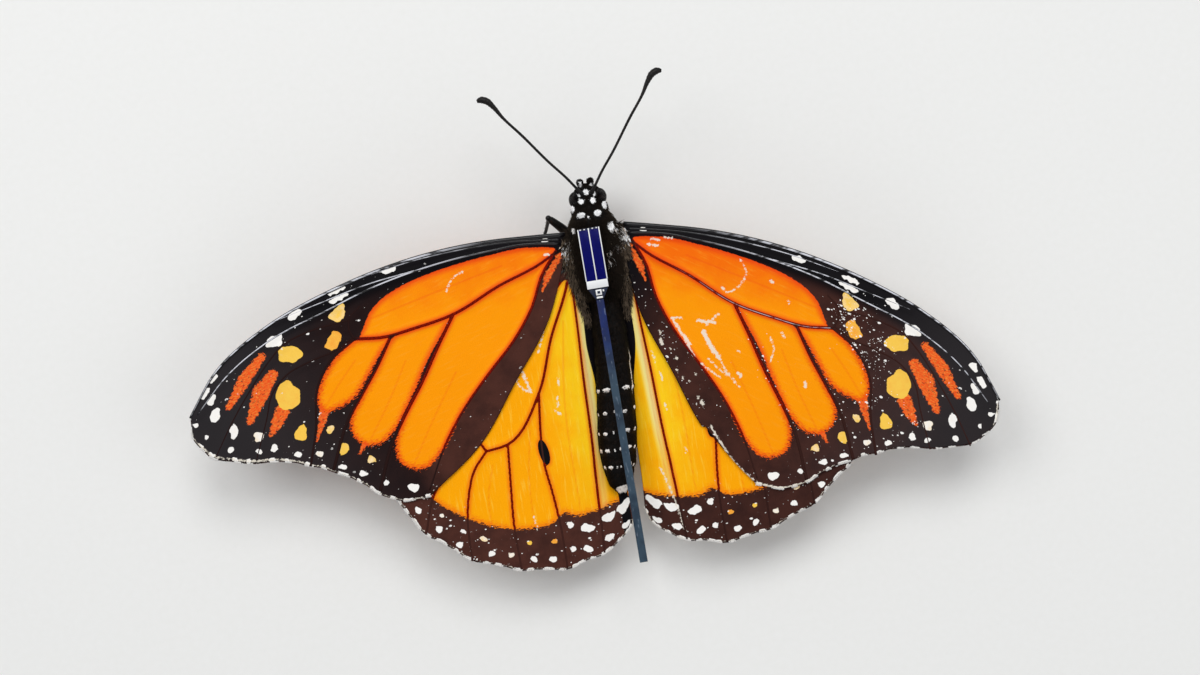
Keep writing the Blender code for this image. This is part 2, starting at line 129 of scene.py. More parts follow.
# The forewing in its own frame: x from the hinge to the tip, y forwards.
FOREWING = {
    "costa": [
        (-0.75, 0.5), (2.6, 1.8), (9.5, 4.3), (17.5, 6.2), (28, 7.15), (37.5, 6.7), (45.5, 4.6), (51, 0.9),
    ],
    "inner": [(0.25, -1.4), (1.7, -3.5), (5.5, -8), (13, -13.5), (20, -18.4), (28.6, -21.5)],
    "termen": [
        (28.6, -21.5), (32.2, -20.6), (35, -17.3), (38.6, -12.8), (43.4, -9.3), (48.6, -6.7), (51.4, -4),
        (52.1, -1.5), (51, 0.9),
    ],
    # Each vein: its line, and its half width at the root and at the end.
    "veins": {
        "cubitus": (
            [(1.3, -1), (3.2, -1.4), (9.6, -1.7), (16, -2.4), (21.5, -1.8), (25, -1.2), (28.4, 0.2)],
            0.16, 0.2,
        ),
        "cubitus_2": (
            [(16.1, -2.4), (19.4, -5), (23, -8), (27.5, -11.4), (29.8, -13.3), (34, -18.2)],
            0.2, 0.26,
        ),
        "cubitus_1": ([(24.3, -1.5), (27.6, -4.2), (31, -6.6), (33.5, -8.4), (38, -13.3)], 0.2, 0.26),
        "media_3": ([(28.4, 0.2), (32.2, -0.9), (34.9, -2.9), (37.8, -8), (40.3, -11.6)], 0.17, 0.2),
        "media_2": (
            [(28.5, 0.5), (31.2, -0.05), (34, 0.1), (38.2, -0.2), (40.6, -1.5), (42.5, -3.9), (46, -8)],
            0.14, 0.12,
        ),
        "media_1": (
            [(28, 2.6), (33, 3.5), (36.6, 3.4), (39.2, 2.3), (42.4, 0.4), (46.8, -2.6), (50.3, -5.4)],
            0.14, 0.12,
        ),
        "cell_end": ([(28.4, 0.2), (28.5, 1.5), (28, 2.6), (26, 3.6)], 0.16, 0.14),
        "radius": (
            [
                (0.2, -0.3), (4, 1.5), (8.4, 2.7), (13.3, 3.8), (18.6, 4.6), (24.3, 5), (29.5, 4.9),
                (38.1, 4.6), (44.4, 3.1), (50, 0.3),
            ],
            0.2, 0.13,
        ),
        "radius_1": ([(17.5, 4.5), (24, 5.6), (30.5, 6.1), (36, 6.5)], 0.14, 0.1),
        "subcosta": ([(0, 0.2), (6, 2.7), (12, 4.5), (19, 6), (26, 6.8)], 0.18, 0.1),
        "anal": (
            [
                (1.2, -0.9), (4, -2.8), (6.8, -5.8), (10.2, -8.3), (15.8, -11.2), (20.1, -13.6),
                (24.3, -16.7), (28.4, -20.8),
            ],
            0.18, 0.15,
        ),
    },
    # The orange fields, as smooth closed outlines that run on below the veins between them.
    "fields": [
        [
            (1.1, -0.7), (3.8, 0.9), (9, 2.3), (12.5, 2.95), (16.3, 3.45), (20.2, 3.6), (23.3, 3.2),
            (25.2, 2.4), (26.7, 1.1), (27.7, 0.1), (25, -1.1), (21.6, -1.8), (16, -2.4), (9.6, -1.7),
            (3.1, -1.3),
        ],
        [
            (1.6, -1.1), (3.1, -1.4), (9.6, -1.7), (16.1, -2.4), (19.5, -5), (23.1, -8), (27.6, -11.5),
            (29.7, -13.9), (30.2, -15.9), (29, -17.6), (27.3, -18.1), (25.6, -17.5), (20.1, -13.6),
            (15.8, -11.3), (10.2, -8.4), (6.8, -5.9), (4, -2.9),
        ],
        [
            (16.4, -2.4), (24.3, -1.8), (27.6, -4.3), (31, -6.7), (33.2, -8.5), (33.9, -10.4), (33, -12.2),
            (31.3, -12.9), (29.3, -12.3), (25.2, -9.3), (21.7, -6.3), (18, -3.6),
        ],
        [
            (24.5, -1.7), (28.3, 0), (30.4, -0.4), (32.9, -1.6), (34.7, -3), (36, -4.9), (35.8, -6.2),
            (33.6, -6.6), (31.6, -6.3), (29, -4.7), (26, -2.6),
        ],
    ],
    # Redder dashes between the veins: both ends, and the half width at each.
    "dashes": [
        (39.6, 3.3, 42.8, 1.7, 0.45, 0.8), (42.8, 1.7, 46.2, -0.6, 0.8, 0.35),
        (39.4, 0.7, 41.6, -0.6, 0.6, 1.05), (41.6, -0.6, 44.6, -3.3, 1.05, 0.4),
        (40.4, -3.9, 41.6, -4.9, 0.85, 0.7), (41.6, -4.9, 43, -6, 0.7, 0.2),
        (35, -5.3, 36.2, -6.8, 0.85, 0.5), (36.2, -6.8, 38.3, -9.2, 0.5, 0.05),
        (32.6, -11.8, 34.2, -12.9, 0.5, 0.1), (0.9, -1.55, 3.4, -3.2, 0.3, 0.42),
        (3.4, -3.2, 4.9, -4.7, 0.42, 0.05),
    ],
    # Spots: centre, half length, half width, turn in degrees, and tint from 0, white, to 1, amber.
    "spots": [
        (1.75, 0.92, 0.5, 0.27, 15, 0), (20.8, 6.05, 0.95, 0.36, 6, 0), (27.8, 6.58, 1.2, 0.31, 0, 0),
        (27.9, 5.62, 1.4, 0.31, -3, 0), (33.7, 6.2, 1, 0.5, -5, 0), (37.3, 4.3, 1.1, 0.7, -4, 0),
        (28.8, 3.95, 1.2, 0.8, -14, 0.4), (30.8, 1.1, 1.3, 0.82, -28, 0.8), (36.5, 2, 1.45, 1.08, -14, 0.5),
        (38.9, -2.6, 1.78, 1.55, -60, 0.6), (46.3, 3.55, 0.65, 0.42, -20, 0), (48, 2.3, 0.8, 0.42, -32, 0),
        (47.6, 1.2, 0.78, 0.42, -32, 0), (48.1, -0.7, 0.98, 0.56, -52, 0), (50.9, -0.7, 0.36, 0.3, 0, 0),
        (50.3, -2.7, 0.34, 0.3, 0, 0), (46.9, -3.5, 0.92, 0.5, -58, 0), (44.4, -5.5, 0.66, 0.56, -60, 0.12),
        (48.3, -5.4, 0.42, 0.36, -30, 0), (45.2, -7.1, 0.38, 0.32, -30, 0), (43.3, -7.6, 0.5, 0.42, -20, 0),
        (41, -9.6, 0.48, 0.36, -25, 0), (38.6, -10.7, 0.42, 0.38, 0, 0.1), (36.8, -13.4, 0.56, 0.34, 15, 0),
        (34.9, -15.3, 0.5, 0.36, 25, 0), (32.8, -17.6, 0.36, 0.32, 0, 0), (30.1, -19.6, 0.62, 0.54, 0, 0),
        (39.5, -7.3, 0.95, 0.78, -55, 0.55), (36.1, -8.5, 0.56, 0.42, -30, 0.35),
        (35.6, -11.5, 0.66, 0.62, 0, 0.45), (33.2, -14.2, 0.52, 0.45, 0, 0.35),
    ],
    # Folds down the middle of the fields, along which the orange is painted darker as shade in the crease.
    "folds": [
        [(19, -9), (24.5, -13.4), (29, -17.3)], [(24, -5), (28, -8.6), (32.6, -12.2)],
        [(29.5, -2.2), (33, -4.2), (36.8, -6.8)], [(8, 0.4), (16, 1), (25.5, 1.6)],
    ],
    "dash_pitch": 2.3,
    "dash_share": 0.46,
    "tones": ("forewing_red", "forewing_orange", "forewing_light"),
    "rim_strength": 0.85,
    "streaks": (0.35, 3, 1),
}
# The hindwing in the body's frame, with x outwards.
HINDWING = {
    "costa": [(3.85, -0.6), (10, -2.6), (18, -6.6), (25, -11.2), (29.8, -15.8)],
    "inner": [(3.2, -2.6), (2, -6), (1.4, -13), (0.95, -21), (0.95, -27), (0.8, -31.5), (0.65, -33.2)],
    "termen": [
        (0.65, -33.2), (1.2, -35.1), (3.2, -36.9), (6.2, -38.2), (10.8, -39), (15.6, -38.2), (20.5, -36.5),
        (24.5, -33.8), (28, -30.2), (30.3, -25.5), (31, -20.5), (29.8, -15.8),
    ],
    "veins": {
        "cubitus": (
            [(3.9, -2.4), (4.8, -4.6), (7.4, -9.8), (10.1, -16.5), (15, -22.2), (17.8, -22.6)],
            0.17, 0.16,
        ),
        "cubitus_2": (
            [
                (10.1, -16.5), (10.5, -19.5), (10.8, -22.3), (10.9, -25.4), (10.5, -29.1), (10.2, -33),
                (10.2, -38.8),
            ],
            0.15, 0.17,
        ),
        "cubitus_1": ([(15, -22.2), (15.5, -27.5), (15.9, -32.2), (15.9, -38)], 0.15, 0.17),
        "media_3": (
            [(17.8, -22.6), (19.7, -24.8), (20.8, -27.5), (21.5, -30.6), (21.8, -35.9)],
            0.15, 0.17,
        ),
        "cell_end": ([(17.8, -22.6), (18.9, -20), (18.5, -16.5), (17.3, -13.7)], 0.16, 0.16),
        "media_2": ([(18.9, -20), (22, -23), (25.2, -27), (26.9, -31.6)], 0.16, 0.18),
        "media_1": ([(18.3, -16), (23, -18.5), (27, -21.5), (30.4, -25.2)], 0.16, 0.18),
        "radial": ([(4, -2), (8, -6), (13, -10.3), (17.3, -13.7), (23, -15.8), (30.6, -19)], 0.2, 0.18),
        "subcosta": ([(4, -1.6), (10, -4.6), (18, -9), (25, -13), (29.9, -16.2)], 0.2, 0.16),
        "anal_2": (
            [(3.8, -4), (3.95, -9), (4.25, -15), (4.55, -24), (4.8, -28), (5, -32.2), (5.3, -37.8)],
            0.13, 0.18,
        ),
    },
    "fields": [
        [
            (3.4, -3), (1.9, -7), (0.7, -13), (0.3, -21), (0.2, -27), (0.3, -30.6), (2.2, -31.6),
            (4, -32.1), (5.7, -32.4), (7.9, -32.6), (9.8, -31.9), (10.9, -32.9), (13.2, -33.2),
            (15.7, -32.9), (18.2, -32.2), (21.3, -30.6), (25, -27.7), (27, -24), (27.4, -20), (25.8, -16.6),
            (20.5, -12.3), (14, -8), (8.5, -4.9), (5.2, -3.2),
        ],
    ],
    "dashes": [],
    "spots": [
        (1.9, -32.5, 1.1, 0.55, -44, 0), (4.05, -33.5, 0.85, 0.58, -12, 0),
        (6.95, -34.35, 0.9, 0.52, 10, 0), (9, -33.55, 0.38, 0.42, 0, 0), (11.3, -35.3, 0.4, 0.3, 0, 0.9),
        (14.4, -34.9, 0.42, 0.22, 20, 0.5), (16.9, -36, 0.4, 0.32, 0, 0.15),
        (19.3, -35.4, 0.42, 0.34, 20, 0), (19.9, -33.4, 0.42, 0.34, 30, 0.2),
        (2, -34.85, 0.66, 0.38, -42, 0), (4.4, -36.05, 0.68, 0.42, -15, 0),
        (7.25, -36.95, 0.62, 0.45, 10, 0), (9.1, -36.65, 0.42, 0.38, 0, 0),
        (11.75, -37.45, 0.52, 0.42, 0, 0), (14.1, -37.05, 0.46, 0.36, 20, 0),
        (23.1, -33.6, 0.5, 0.4, 40, 0), (22.3, -32, 0.34, 0.26, 40, 0), (25.2, -31.2, 0.5, 0.4, 45, 0),
        (24.6, -29.6, 0.3, 0.24, 45, 0.1), (27.4, -28.4, 0.5, 0.38, 60, 0),
        (26.6, -26.9, 0.36, 0.28, 60, 0.1), (28.9, -24.6, 0.5, 0.38, 75, 0),
        (28.1, -23.2, 0.5, 0.4, 80, 0.1), (29.4, -20.9, 0.48, 0.36, 90, 0),
        (28.5, -19.2, 0.45, 0.36, 90, 0.1),
    ],
    # Folds down the middle of the fields, painted darker as shade in the crease.
    "folds": [
        [(5.6, -8), (7.1, -18), (7.4, -32.5)], [(12, -21), (13.1, -27), (13.4, -33.2)],
        [(17.3, -24.5), (18.4, -28), (18.7, -32.2)], [(3.7, -12), (3.8, -22), (4.1, -32)],
    ],
    "dash_pitch": 2,
    "dash_share": 0.6,
    "tones": ("hindwing_amber", "hindwing_yellow", "hindwing_light"),
    "rim_strength": 0.5,
    "streaks": (3, 0.3, 1),
}
# The two looks of a vein: specular level, roughness, the strength of the painted highlight on its top, and
# how far up its ridge that painted highlight starts.
VEIN_LEVELS = {"scaled_veins": (0.04, 0.6, 0.75, 0.95), "bare_veins": (0.4, 0.3, 0.9, 0.86)}
GLOSSY_VEINS = ("costa", "subcosta", "radius", "radius_1")
WINGS = {"forewing": FOREWING, "hindwing": HINDWING}
# The half width of the vein along each wing's leading edge, at the root.
COSTA_HALF_WIDTH = {"forewing": 0.3, "hindwing": 0.16}
HIGHLIT_VEINS = {"right_cubitus": 1.0}  # how strongly a painted highlight lies on the ridges of these further veins, by side and vein
SCENT_SPOT = (10.7, -23.95, 1.65, 0.62, 82)  # the male's black scent patch: as a spot
# Pale lines by wing, in the wing's frame: points, then half width. Most are scuffed lines where scales have
# rubbed off; the rest are painted highlights, marked below.
WORN_AND_HIGHLIGHT_LINES = {
    "forewing_right": [
        ([(14.4, 2.8), (15.7, 1.7), (15.8, 0.3), (14.5, -1.5), (13.8, -1.2)], 0.1),
        ([(9.9, -7.4), (11, -6.9)], 0.14), ([(13, -6.3), (15, -5.6)], 0.2),
        ([(14.9, -4.4), (14.2, -6.4)], 0.13), ([(10.2, -7.6), (12.4, -9), (14.6, -10.6)], 0.16),
        ([(14.2, -7.2), (16, -8.6), (17.3, -9.2)], 0.28),
        ([(17.1, -9), (18.8, -10.3), (21.3, -11.5)], 0.11), ([(15.6, -10.9), (18.7, -11.5)], 0.1),
        ([(16.2, -10), (19.2, -10.9)], 0.09), ([(22, -4.3), (22.8, -5), (23.4, -6.9)], 0.11),
        ([(28.4, -7.3), (28.7, -7.9)], 0.18), ([(23, -3.1), (23.6, -3.5)], 0.14),
        ([(18.9, 2.1), (19.3, 2)], 0.16), ([(22, 0.8), (22.2, 0.6)], 0.14),
        ([(20.4, -10), (20.9, -10.2)], 0.22), ([(19, -7.5), (19.4, -7.5)], 0.12),
        ([(3, -0.5), (4.3, -0.1)], 0.15), ([(4.6, 1.2), (5.6, 1.5)], 0.12), ([(3.2, 0.3), (4.2, 0.6)], 0.1),
        # Of the next lines, the last two, along the inner edge and round the rim, are painted highlights
        # where those edges catch the light.
        ([(12.4, -8.8), (13.4, -9.4)], 0.2), ([(20.2, -17.9), (24.3, -20.1), (28.6, -21.4)], 0.15),
        ([(28.6, -21.4), (32.2, -20.5), (35, -17.3)], 0.2),
    ],
    "forewing_left": [([(12.6, 1.9), (14.4, 1.6), (15.6, 0.6)], 0.1), ([(2.2, -0.9), (2.6, -0.7)], 0.18)],
    "hindwing_left": [
        ([(11.9, -12.6), (11.5, -14.3), (11.1, -16.3)], 0.16),
        ([(12.3, -13.4), (12.5, -14.9), (11.6, -16)], 0.13), ([(8.1, -8.5), (9.3, -11.4)], 0.1),
        ([(7.9, -17.4), (8, -18.6)], 0.13), ([(8.4, -19), (7.9, -19.6)], 0.14),
        ([(7.4, -15), (7.5, -16)], 0.1), ([(13.1, -33.6), (13.3, -31.8)], 0.1),
    ],
    "hindwing_right": [
        # The first, long line beside the innermost vein is a painted highlight where the wing's fold catches
        # the light.
        ([(3.4, -28.3), (4.2, -31.1), (4.75, -33.6), (5.25, -36.8)], 0.12), ([(4.8, -13.6), (5, -15)], 0.1),
        ([(5.4, -16.4), (5.5, -17.4)], 0.12), ([(5.3, -20.2), (5.4, -21.2)], 0.1),
        ([(6.9, -26.3), (7, -27)], 0.1),
    ],
}

# Bald flecks along the right forewing's inner edge: x, y, half length.
BALD_FLECKS = [
    (9.4, -9.7, 0.3), (10.1, -10.7, 0.5), (11.4, -11, 0.26), (12.7, -11.7, 0.3), (15.7, -12.4, 0.26),
    (13.4, -13.1, 0.24), (14.5, -13.6, 0.26), (15.4, -13.6, 0.22), (17.3, -14.9, 0.3), (18.1, -15.4, 0.46),
    (20.3, -17.7, 0.28),
]
# Where stray white scales lie on each wing: x, y, how far around, and their share in the middle.
FLECKS = {
    "forewing_left": [(30, -5, 30, 0.06)],
    "forewing_right": [
        (30, 2.4, 2.6, 1), (33.6, -1, 3.2, 0.9), (36.6, -5.2, 2.4, 0.5), (29, -2, 2.4, 0.4),
        (10.5, -10.6, 3.6, 0.3), (5.6, -6.6, 2.2, 0.3), (18, -15.6, 5, 0.16), (22, -6.5, 5, 0.4),
        (30, -8, 5, 0.32), (41.5, -7, 3, 0.35), (36, -12, 5, 0.14), (46, -2, 6, 0.06), (30.5, -19, 4, 0.1),
    ],
    "hindwing_left": [(6, -36, 7, 0.12), (20, -34.5, 6, 0.2), (27, -27, 5, 0.16)],
    "hindwing_right": [(10, -36, 9, 0.12), (24, -31, 6, 0.16), (29, -22, 4, 0.16)],
}
# How brown each wing's black is, from none to 1.
WARMTH = {"forewing_left": 0.4, "forewing_right": 0.75, "hindwing_left": 1.0, "hindwing_right": 0.7}
# The numbers stored on the wings' and the hairs' points for their materials.
WING_MARKS = (
    "field", "vein", "spot", "tint", "dash", "fold", "worn_and_highlight", "painted_sheen", "warm", "tone", "ragged", "flecks",
    "fold_highlight", "pouch_and_body_shade", "pale_below",
)
HAIR_MARKS = ("pale", "tint", "shade", "grey", "tip")
VEIN_MARKS = ("field", "shine", "bare", "warm")
# A Map Range node with these settings goes from 0 at its first limit to 1 at its second.
SMOOTH = {"interpolation_type": "SMOOTHSTEP"}

# Pale patches on the body's upper side: x, y, half width, half length, tint.
TOP_SPOTS = [
    (-0.11, 7.46, 0.32, 0.37, 0), (0.88, 7.1, 0.16, 0.27, 0), (-1.01, 7.16, 0.17, 0.17, 0),
    (-1.36, 6.72, 0.15, 0.14, 0), (-0.88, 6.34, 0.32, 0.3, 0), (0.58, 6.28, 0.31, 0.34, 0),
    (-2.12, 5.66, 0.24, 0.38, 0), (1.92, 5.54, 0.28, 0.42, 0), (-1.2, 4.66, 0.5, 0.34, 0),
    (0.92, 4.6, 0.44, 0.39, 0), (-0.34, 4.27, 0.1, 0.1, 0), (2.24, 2.72, 0.4, 0.56, 0),
    (-2.4, 2.89, 0.2, 0.36, 0.15), (-0.62, 8.58, 0.11, 0.3, 0), (0.68, 8.36, 0.1, 0.16, 0),
]
# Pale patches all round the body: y, degrees round from the top to the right, half length, half width, tint.
# The first is a painted highlight: a thin pale line along the abdomen's right side, where its hair catches
# the light.
BODY_SPOTS = [(-15.6, 62, 2.4, 0.07, 0.3), (-30.2, 10, 0.45, 1.1, 0.35)]
# Those that both sides have, on the flanks and below.
BODY_SPOTS_MIRRORED = [
    (4.9, 102, 0.4, 0.3, 0), (3.2, 96, 0.45, 0.36, 0), (1.0, 112, 0.5, 0.4, 0), (-1.2, 100, 0.45, 0.36, 0),
    (-3.2, 116, 0.42, 0.36, 0), (2.9, 142, 0.36, 0.32, 0), (0.2, 147, 0.4, 0.36, 0),
    (-2.4, 150, 0.38, 0.34, 0), (6.3, 152, 0.3, 0.26, 0), (7.5, 128, 0.26, 0.2, 0),
]
# Where pale tufts stand among the dark hair: x, y, how far around, and their share in the middle.
PALE_TUFTS = [
    (3.6, 1.5, 0.8, 0.95), (2.56, 0.0, 0.36, 0.95), (1.4, -0.6, 0.3, 0.7), (1.4, -1.8, 0.32, 0.7),
    (2.9, -3.4, 0.35, 0.6), (4.6, -2.2, 0.5, 0.45), (-3.2, 1.4, 0.36, 0.9), (-4.1, 0.5, 0.7, 0.4),
    (-4.5, -3.0, 0.5, 0.45), (-3.3, -4.9, 0.4, 0.5),
]
# The abdomen's spots stand in rows at these y, each at the angles and half widths below.
ABDOMEN_ROWS = (-17.6, -20.3, -22.8, -25.0, -27.2)
ABDOMEN_ROW_SPOTS = [
    (-32, 0.42), (30, 0.46), (-6, 0.12), (8, 0.1), (-64, 0.34), (64, 0.34), (-128, 0.32), (128, 0.32),
]

# Limbs as rows of x outwards, y, z, radius.
MIDLEGS = {
    "left": [
        (2, 1.2, 3.55), (3.6, 3.4, 4.9), (5.35, 5.2, 6.1), (5.85, 4.1, 3.4), (6.7, 2.7, 0.95),
        (7.8, 2, 0.24), (9.7, 1.4, 0.2), (11.5, 0.9, 0.17),
    ],
    "right": [
        (2.1, 0.4, 3.45), (4.1, 0.6, 4.6), (6.2, 0.5, 5.6), (8.2, 0.2, 3.1), (10.1, -0.2, 0.95),
        (11.4, -0.5, 0.24), (13.1, -0.9, 0.2), (14.7, -1.3, 0.17),
    ],
}
HINDLEG = [
    (1.9, -2.2, 3.45), (3.5, -4.8, 4.5), (5.2, -7.6, 5.3), (6.7, -11, 3), (8.1, -14.4, 0.95),
    (8.7, -15.9, 0.24), (9.4, -17.7, 0.2), (10, -19.4, 0.17),
]
FORELEG = [
    (1.05, 3, 3.85, 0.28), (1.55, 4, 3.75, 0.3), (1.75, 5.1, 3.95, 0.28), (1.35, 6.2, 4.35, 0.27),
    (1, 6.9, 4.6, 0.25),
]
FEELER = [
    (0.65, 7.35, 9, 0.26), (1, 7.8, 9.3, 0.2), (2.2, 9.5, 9.75, 0.165), (4, 11.7, 10.3, 0.165),
    (6.8, 15.5, 11.1, 0.17), (8.9, 18.2, 11.6, 0.2), (9.7, 19.5, 11.75, 0.3), (10.5, 20.4, 11.85, 0.42),
    (11.1, 20.6, 11.85, 0.4), (11.6, 20.5, 11.85, 0.2),
]
PALP = [
    (0.55, 7.6, 5.6, 0.3), (0.6, 8.2, 5.2, 0.33), (0.62, 8.75, 5.7, 0.36), (0.65, 8.95, 6.7, 0.36),
    (0.68, 8.85, 7.6, 0.3), (0.7, 8.75, 8.2, 0.2),
]
# Lobes that both sides of the body have: x outwards, y, z, three radii, and the lean outwards in degrees.
SIDE_LOBES = [
    # The collar's plate, the shoulder, the plate over the forewing's root, and both wing roots.
    (1.05, 4.5, 9.05, 1.05, 0.62, 0.6, 28), (1.7, 5.4, 7.9, 0.66, 0.92, 0.85, 20),
    (2.5, 2.35, 9.15, 0.55, 1.05, 0.5, 40), (3.15, 1.4, 8.75, 0.95, 1.7, 0.5, 15),
    (3.1, -1.9, 8, 0.9, 1.6, 0.5, 20),
    # The hips of the middle, hind and fore legs.
    (1.5, 1, 4, 0.8, 1, 1, 0), (1.4, -1.7, 4.05, 0.8, 1, 1, 0), (1, 3.4, 4.3, 0.45, 0.6, 0.7, 0),
    # The feeler's socket.
    (0.62, 7.25, 8.75, 0.34, 0.34, 0.26, 0),
]
# Lobes in the middle, as centre and radii: the face, the back over the waist, and the top of the thorax.
MIDDLE_LOBES = [
    ((0, 8.25, 6.4), (0.7, 0.42, 1.1)), ((0, -3.3, 9.55), (1.35, 0.9, 0.75)),
    ((0, 0.6, 9.75), (1.7, 2.6, 0.75)),
]
FEELER_RINGS = 42
TONGUE_RINGS = 60
PROBOSCIS_CENTRE = (0.0, 7.5, 3.95)
PROBOSCIS_RADII = (1.25, 0.35)
PROBOSCIS_TURNS = 1.45

TAG_X = -0.59
TAG_FRONT_Y = 2.8
TAG_WIDTH = 2.75
TAG_LENGTH = 7.6
TAG_REAR_Y = TAG_FRONT_Y - TAG_LENGTH
BOARD_THICKNESS = 0.4
BOARD_TOP_Z = 11.0 + BOARD_THICKNESS
CELL_SIZE = (1.17, 6.35, 0.16)
TAIL_LENGTH = 1.3
TAIL_Y = TAG_REAR_Y - 0.06 - TAIL_LENGTH / 2
STRIP_START_Y = TAIL_Y - TAIL_LENGTH / 2 - 0.06
STRIP_LENGTH = 33.2

# Lights: where, how wide, which power of the settings, and what share of it.
LIGHTS = {
    "key_light": ((-0.22, 0.2, 0.42), 0.28, "key_light", 1.0),
    "fill_light": ((0.32, -0.1, 0.34), 0.4, "fill_light", 1.0),
    "rim_light": ((0.0, -0.42, 0.2), 0.3, "fill_light", 0.6),
    "top_light": ((0.1, 0.36, 0.56), 0.35, "top_light", 1.0),
}
LIGHTS_AIM_Z = 0.009  # the height of the wings' roots, in metres
FLOOR_HALF_WIDTH = 1.5  # metres
CAMERA_OVER = (-1.37, -10.86, 0.0)
CAMERA_TURN = -9.5  # degrees about the line of sight
CAMERA_LENS = 52.8


def thorax_place():
    """The floor point below the middle of the thorax, in the frame, in millimetres."""
    low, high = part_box("thorax")
    middle_y = (low.y + high.y) / 2 / MM
    return np.array([(low.x + high.x) / 2 / MM, middle_y - (WAIST_Y + NECK_Y) / 2, 0.0])


THORAX_AT = thorax_place()


def in_frame(points):
    """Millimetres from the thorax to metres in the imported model's frame."""
    return (np.asarray(points, float) + THORAX_AT) * MM


def srgb(hex_colour):
    """A hex colour as linear red, green, blue and alpha."""
    channels = [int(hex_colour[i : i + 2], 16) / 255 for i in (1, 3, 5)]
    linear = [c / 12.92 if c <= 0.04045 else ((c + 0.055) / 1.055) ** 2.4 for c in channels]
    return (*linear, 1.0)


# ------------------------------------------------------------------ curves and distances


def read(knots, values, x):
    """Read a smooth curve through (knots, values) at every x. The knots rise."""
    knots, values = np.asarray(knots, float), np.asarray(values, float)
    if values.ndim == 1:
        return read(knots, values[:, None], x)[:, 0]
    step = np.diff(knots)[:, None]
    slope = np.diff(values, axis=0) / step
    inner = (slope[:-1] * step[1:] + slope[1:] * step[:-1]) / (step[1:] + step[:-1])
    tangent = np.concatenate([slope[:1], inner, slope[-1:]])
    x = np.clip(np.atleast_1d(np.asarray(x, float)), knots[0], knots[-1])
    i = np.clip(np.searchsorted(knots, x, side="right") - 1, 0, len(step) - 1)
    h = step[i]
    f = ((x - knots[i])[:, None]) / h
    start = (1 + 2 * f) * (1 - f) ** 2 * values[i] + f * (1 - f) ** 2 * h * tangent[i]
    return start + f**2 * (3 - 2 * f) * values[i + 1] - f**2 * (1 - f) * h * tangent[i + 1]


def along(points, t):
    """The points at the fractions t, by length, of a smooth curve through the points."""
    points = np.asarray(points, float)
    lengths = np.linalg.norm(np.diff(points[:, :3], axis=0), axis=1)
    knots = np.concatenate([[0.0], np.cumsum(lengths)])
    return read(knots, points, np.asarray(t) * knots[-1])


def closed(points):
    """Points on a smooth closed curve through the points."""
    points = np.asarray(points, float)
    ring = np.concatenate([points[-2:], points, points[:3]])
    knots = np.concatenate([[0.0], np.cumsum(np.linalg.norm(np.diff(ring, axis=0), axis=1))])
    return read(knots, ring, np.linspace(knots[2], knots[-3], 90, endpoint=False))


def ramp(x, start, end):
    """0 before start, 1 after end, with a smooth rise between."""
    t = np.clip((np.asarray(x, float) - start) / (end - start), 0.0, 1.0)
    return t * t * (3 - 2 * t)


def unit(vectors):
    return vectors / np.maximum(np.linalg.norm(vectors, axis=-1, keepdims=True), 1e-9)


def nearest(points, start, end):
    """For each point and each segment, the distance between them and the fraction along the segment."""
    span = end - start
    offset = points[:, None] - start[None]
    t = np.clip((offset * span).sum(-1) / np.maximum((span**2).sum(-1), 1e-12), 0, 1)
    return np.linalg.norm(offset - t[..., None] * span, axis=-1), t


def from_line(points, line, count=28):
    """Each point's distance from a smooth line, and how far along the line it is, from 0 to 1."""
    dots = along(line, np.linspace(0, 1, count))
    gap, t = nearest(points, dots[:-1], dots[1:])
    best = gap.argmin(1)
    rows = np.arange(len(points))
    return gap[rows, best], (best + t[rows, best]) / (count - 1)


def inside(points, outline):
    """Each point's distance from a closed outline, positive inside it."""
    end = np.roll(outline, -1, axis=0)
    gap = nearest(points, outline, end)[0].min(1)
    x, y = points[:, 0, None], points[:, 1, None]
    rises = (outline[:, 1] > y) != (end[:, 1] > y)
    run = np.where(end[:, 1] == outline[:, 1], 1e-9, end[:, 1] - outline[:, 1])
    crossed = rises & (x < (end[:, 0] - outline[:, 0]) * (y - outline[:, 1]) / run + outline[:, 0])
    return np.where(crossed.sum(1) % 2 == 1, gap, -gap)


def in_spot(dx, dy, half_length, half_width, turn=0.0):
    """About how deep each offset lies in an oval, negative outside it."""
    cos, sin = math.cos(math.radians(turn)), math.sin(math.radians(turn))
    u, v = (dx * cos + dy * sin) / half_length, (dy * cos - dx * sin) / half_width
    size = np.sqrt(u**2 + v**2)
    slope = np.sqrt((u / half_length) ** 2 + (v / half_width) ** 2)
    return np.where(size < 1e-6, min(half_length, half_width), size * (1 - size) / np.maximum(slope, 1e-6))


def nearest_spot(points, spots):
    """How deep each point lies in the nearest spot, and that spot's tint."""
    depth = np.full(len(points), -FAR)
    tint = np.zeros(len(points))
    for x, y, half_length, half_width, turn, spot_tint in spots:
        across, down = (points[:, 0] - x) / half_width, (points[:, 1] - y) / half_width
        # No two spots have the same outline.
        bent_x = across + 0.2 * np.sin(2.3 * down + 3 * x) + 0.08 * np.sin(5.1 * down + x)
        bent_y = down + 0.2 * np.sin(2.1 * across + 5 * y) + 0.08 * np.sin(4.7 * across + y)
        here = in_spot(bent_x * half_width, bent_y * half_width, half_length, half_width, turn)
        tint = np.where(here > depth, spot_tint, tint)
        depth = np.maximum(depth, here)
    return depth, tint


def strewn_share(points, centres):
    """The greatest share at each point, from rows of x, y, how far around, and the share in the middle."""
    shares = [
        most * np.exp(-((np.hypot(points[:, 0] - x, points[:, 1] - y) / reach) ** 2))
        for x, y, reach, most in centres
    ]
    return np.max(shares, axis=0)


# ------------------------------------------------------------------ meshes and objects


def points_of(mesh):
    points = np.empty(len(mesh.vertices) * 3, np.float32)
    mesh.vertices.foreach_get("co", points)
    return points.reshape(-1, 3).astype(float)


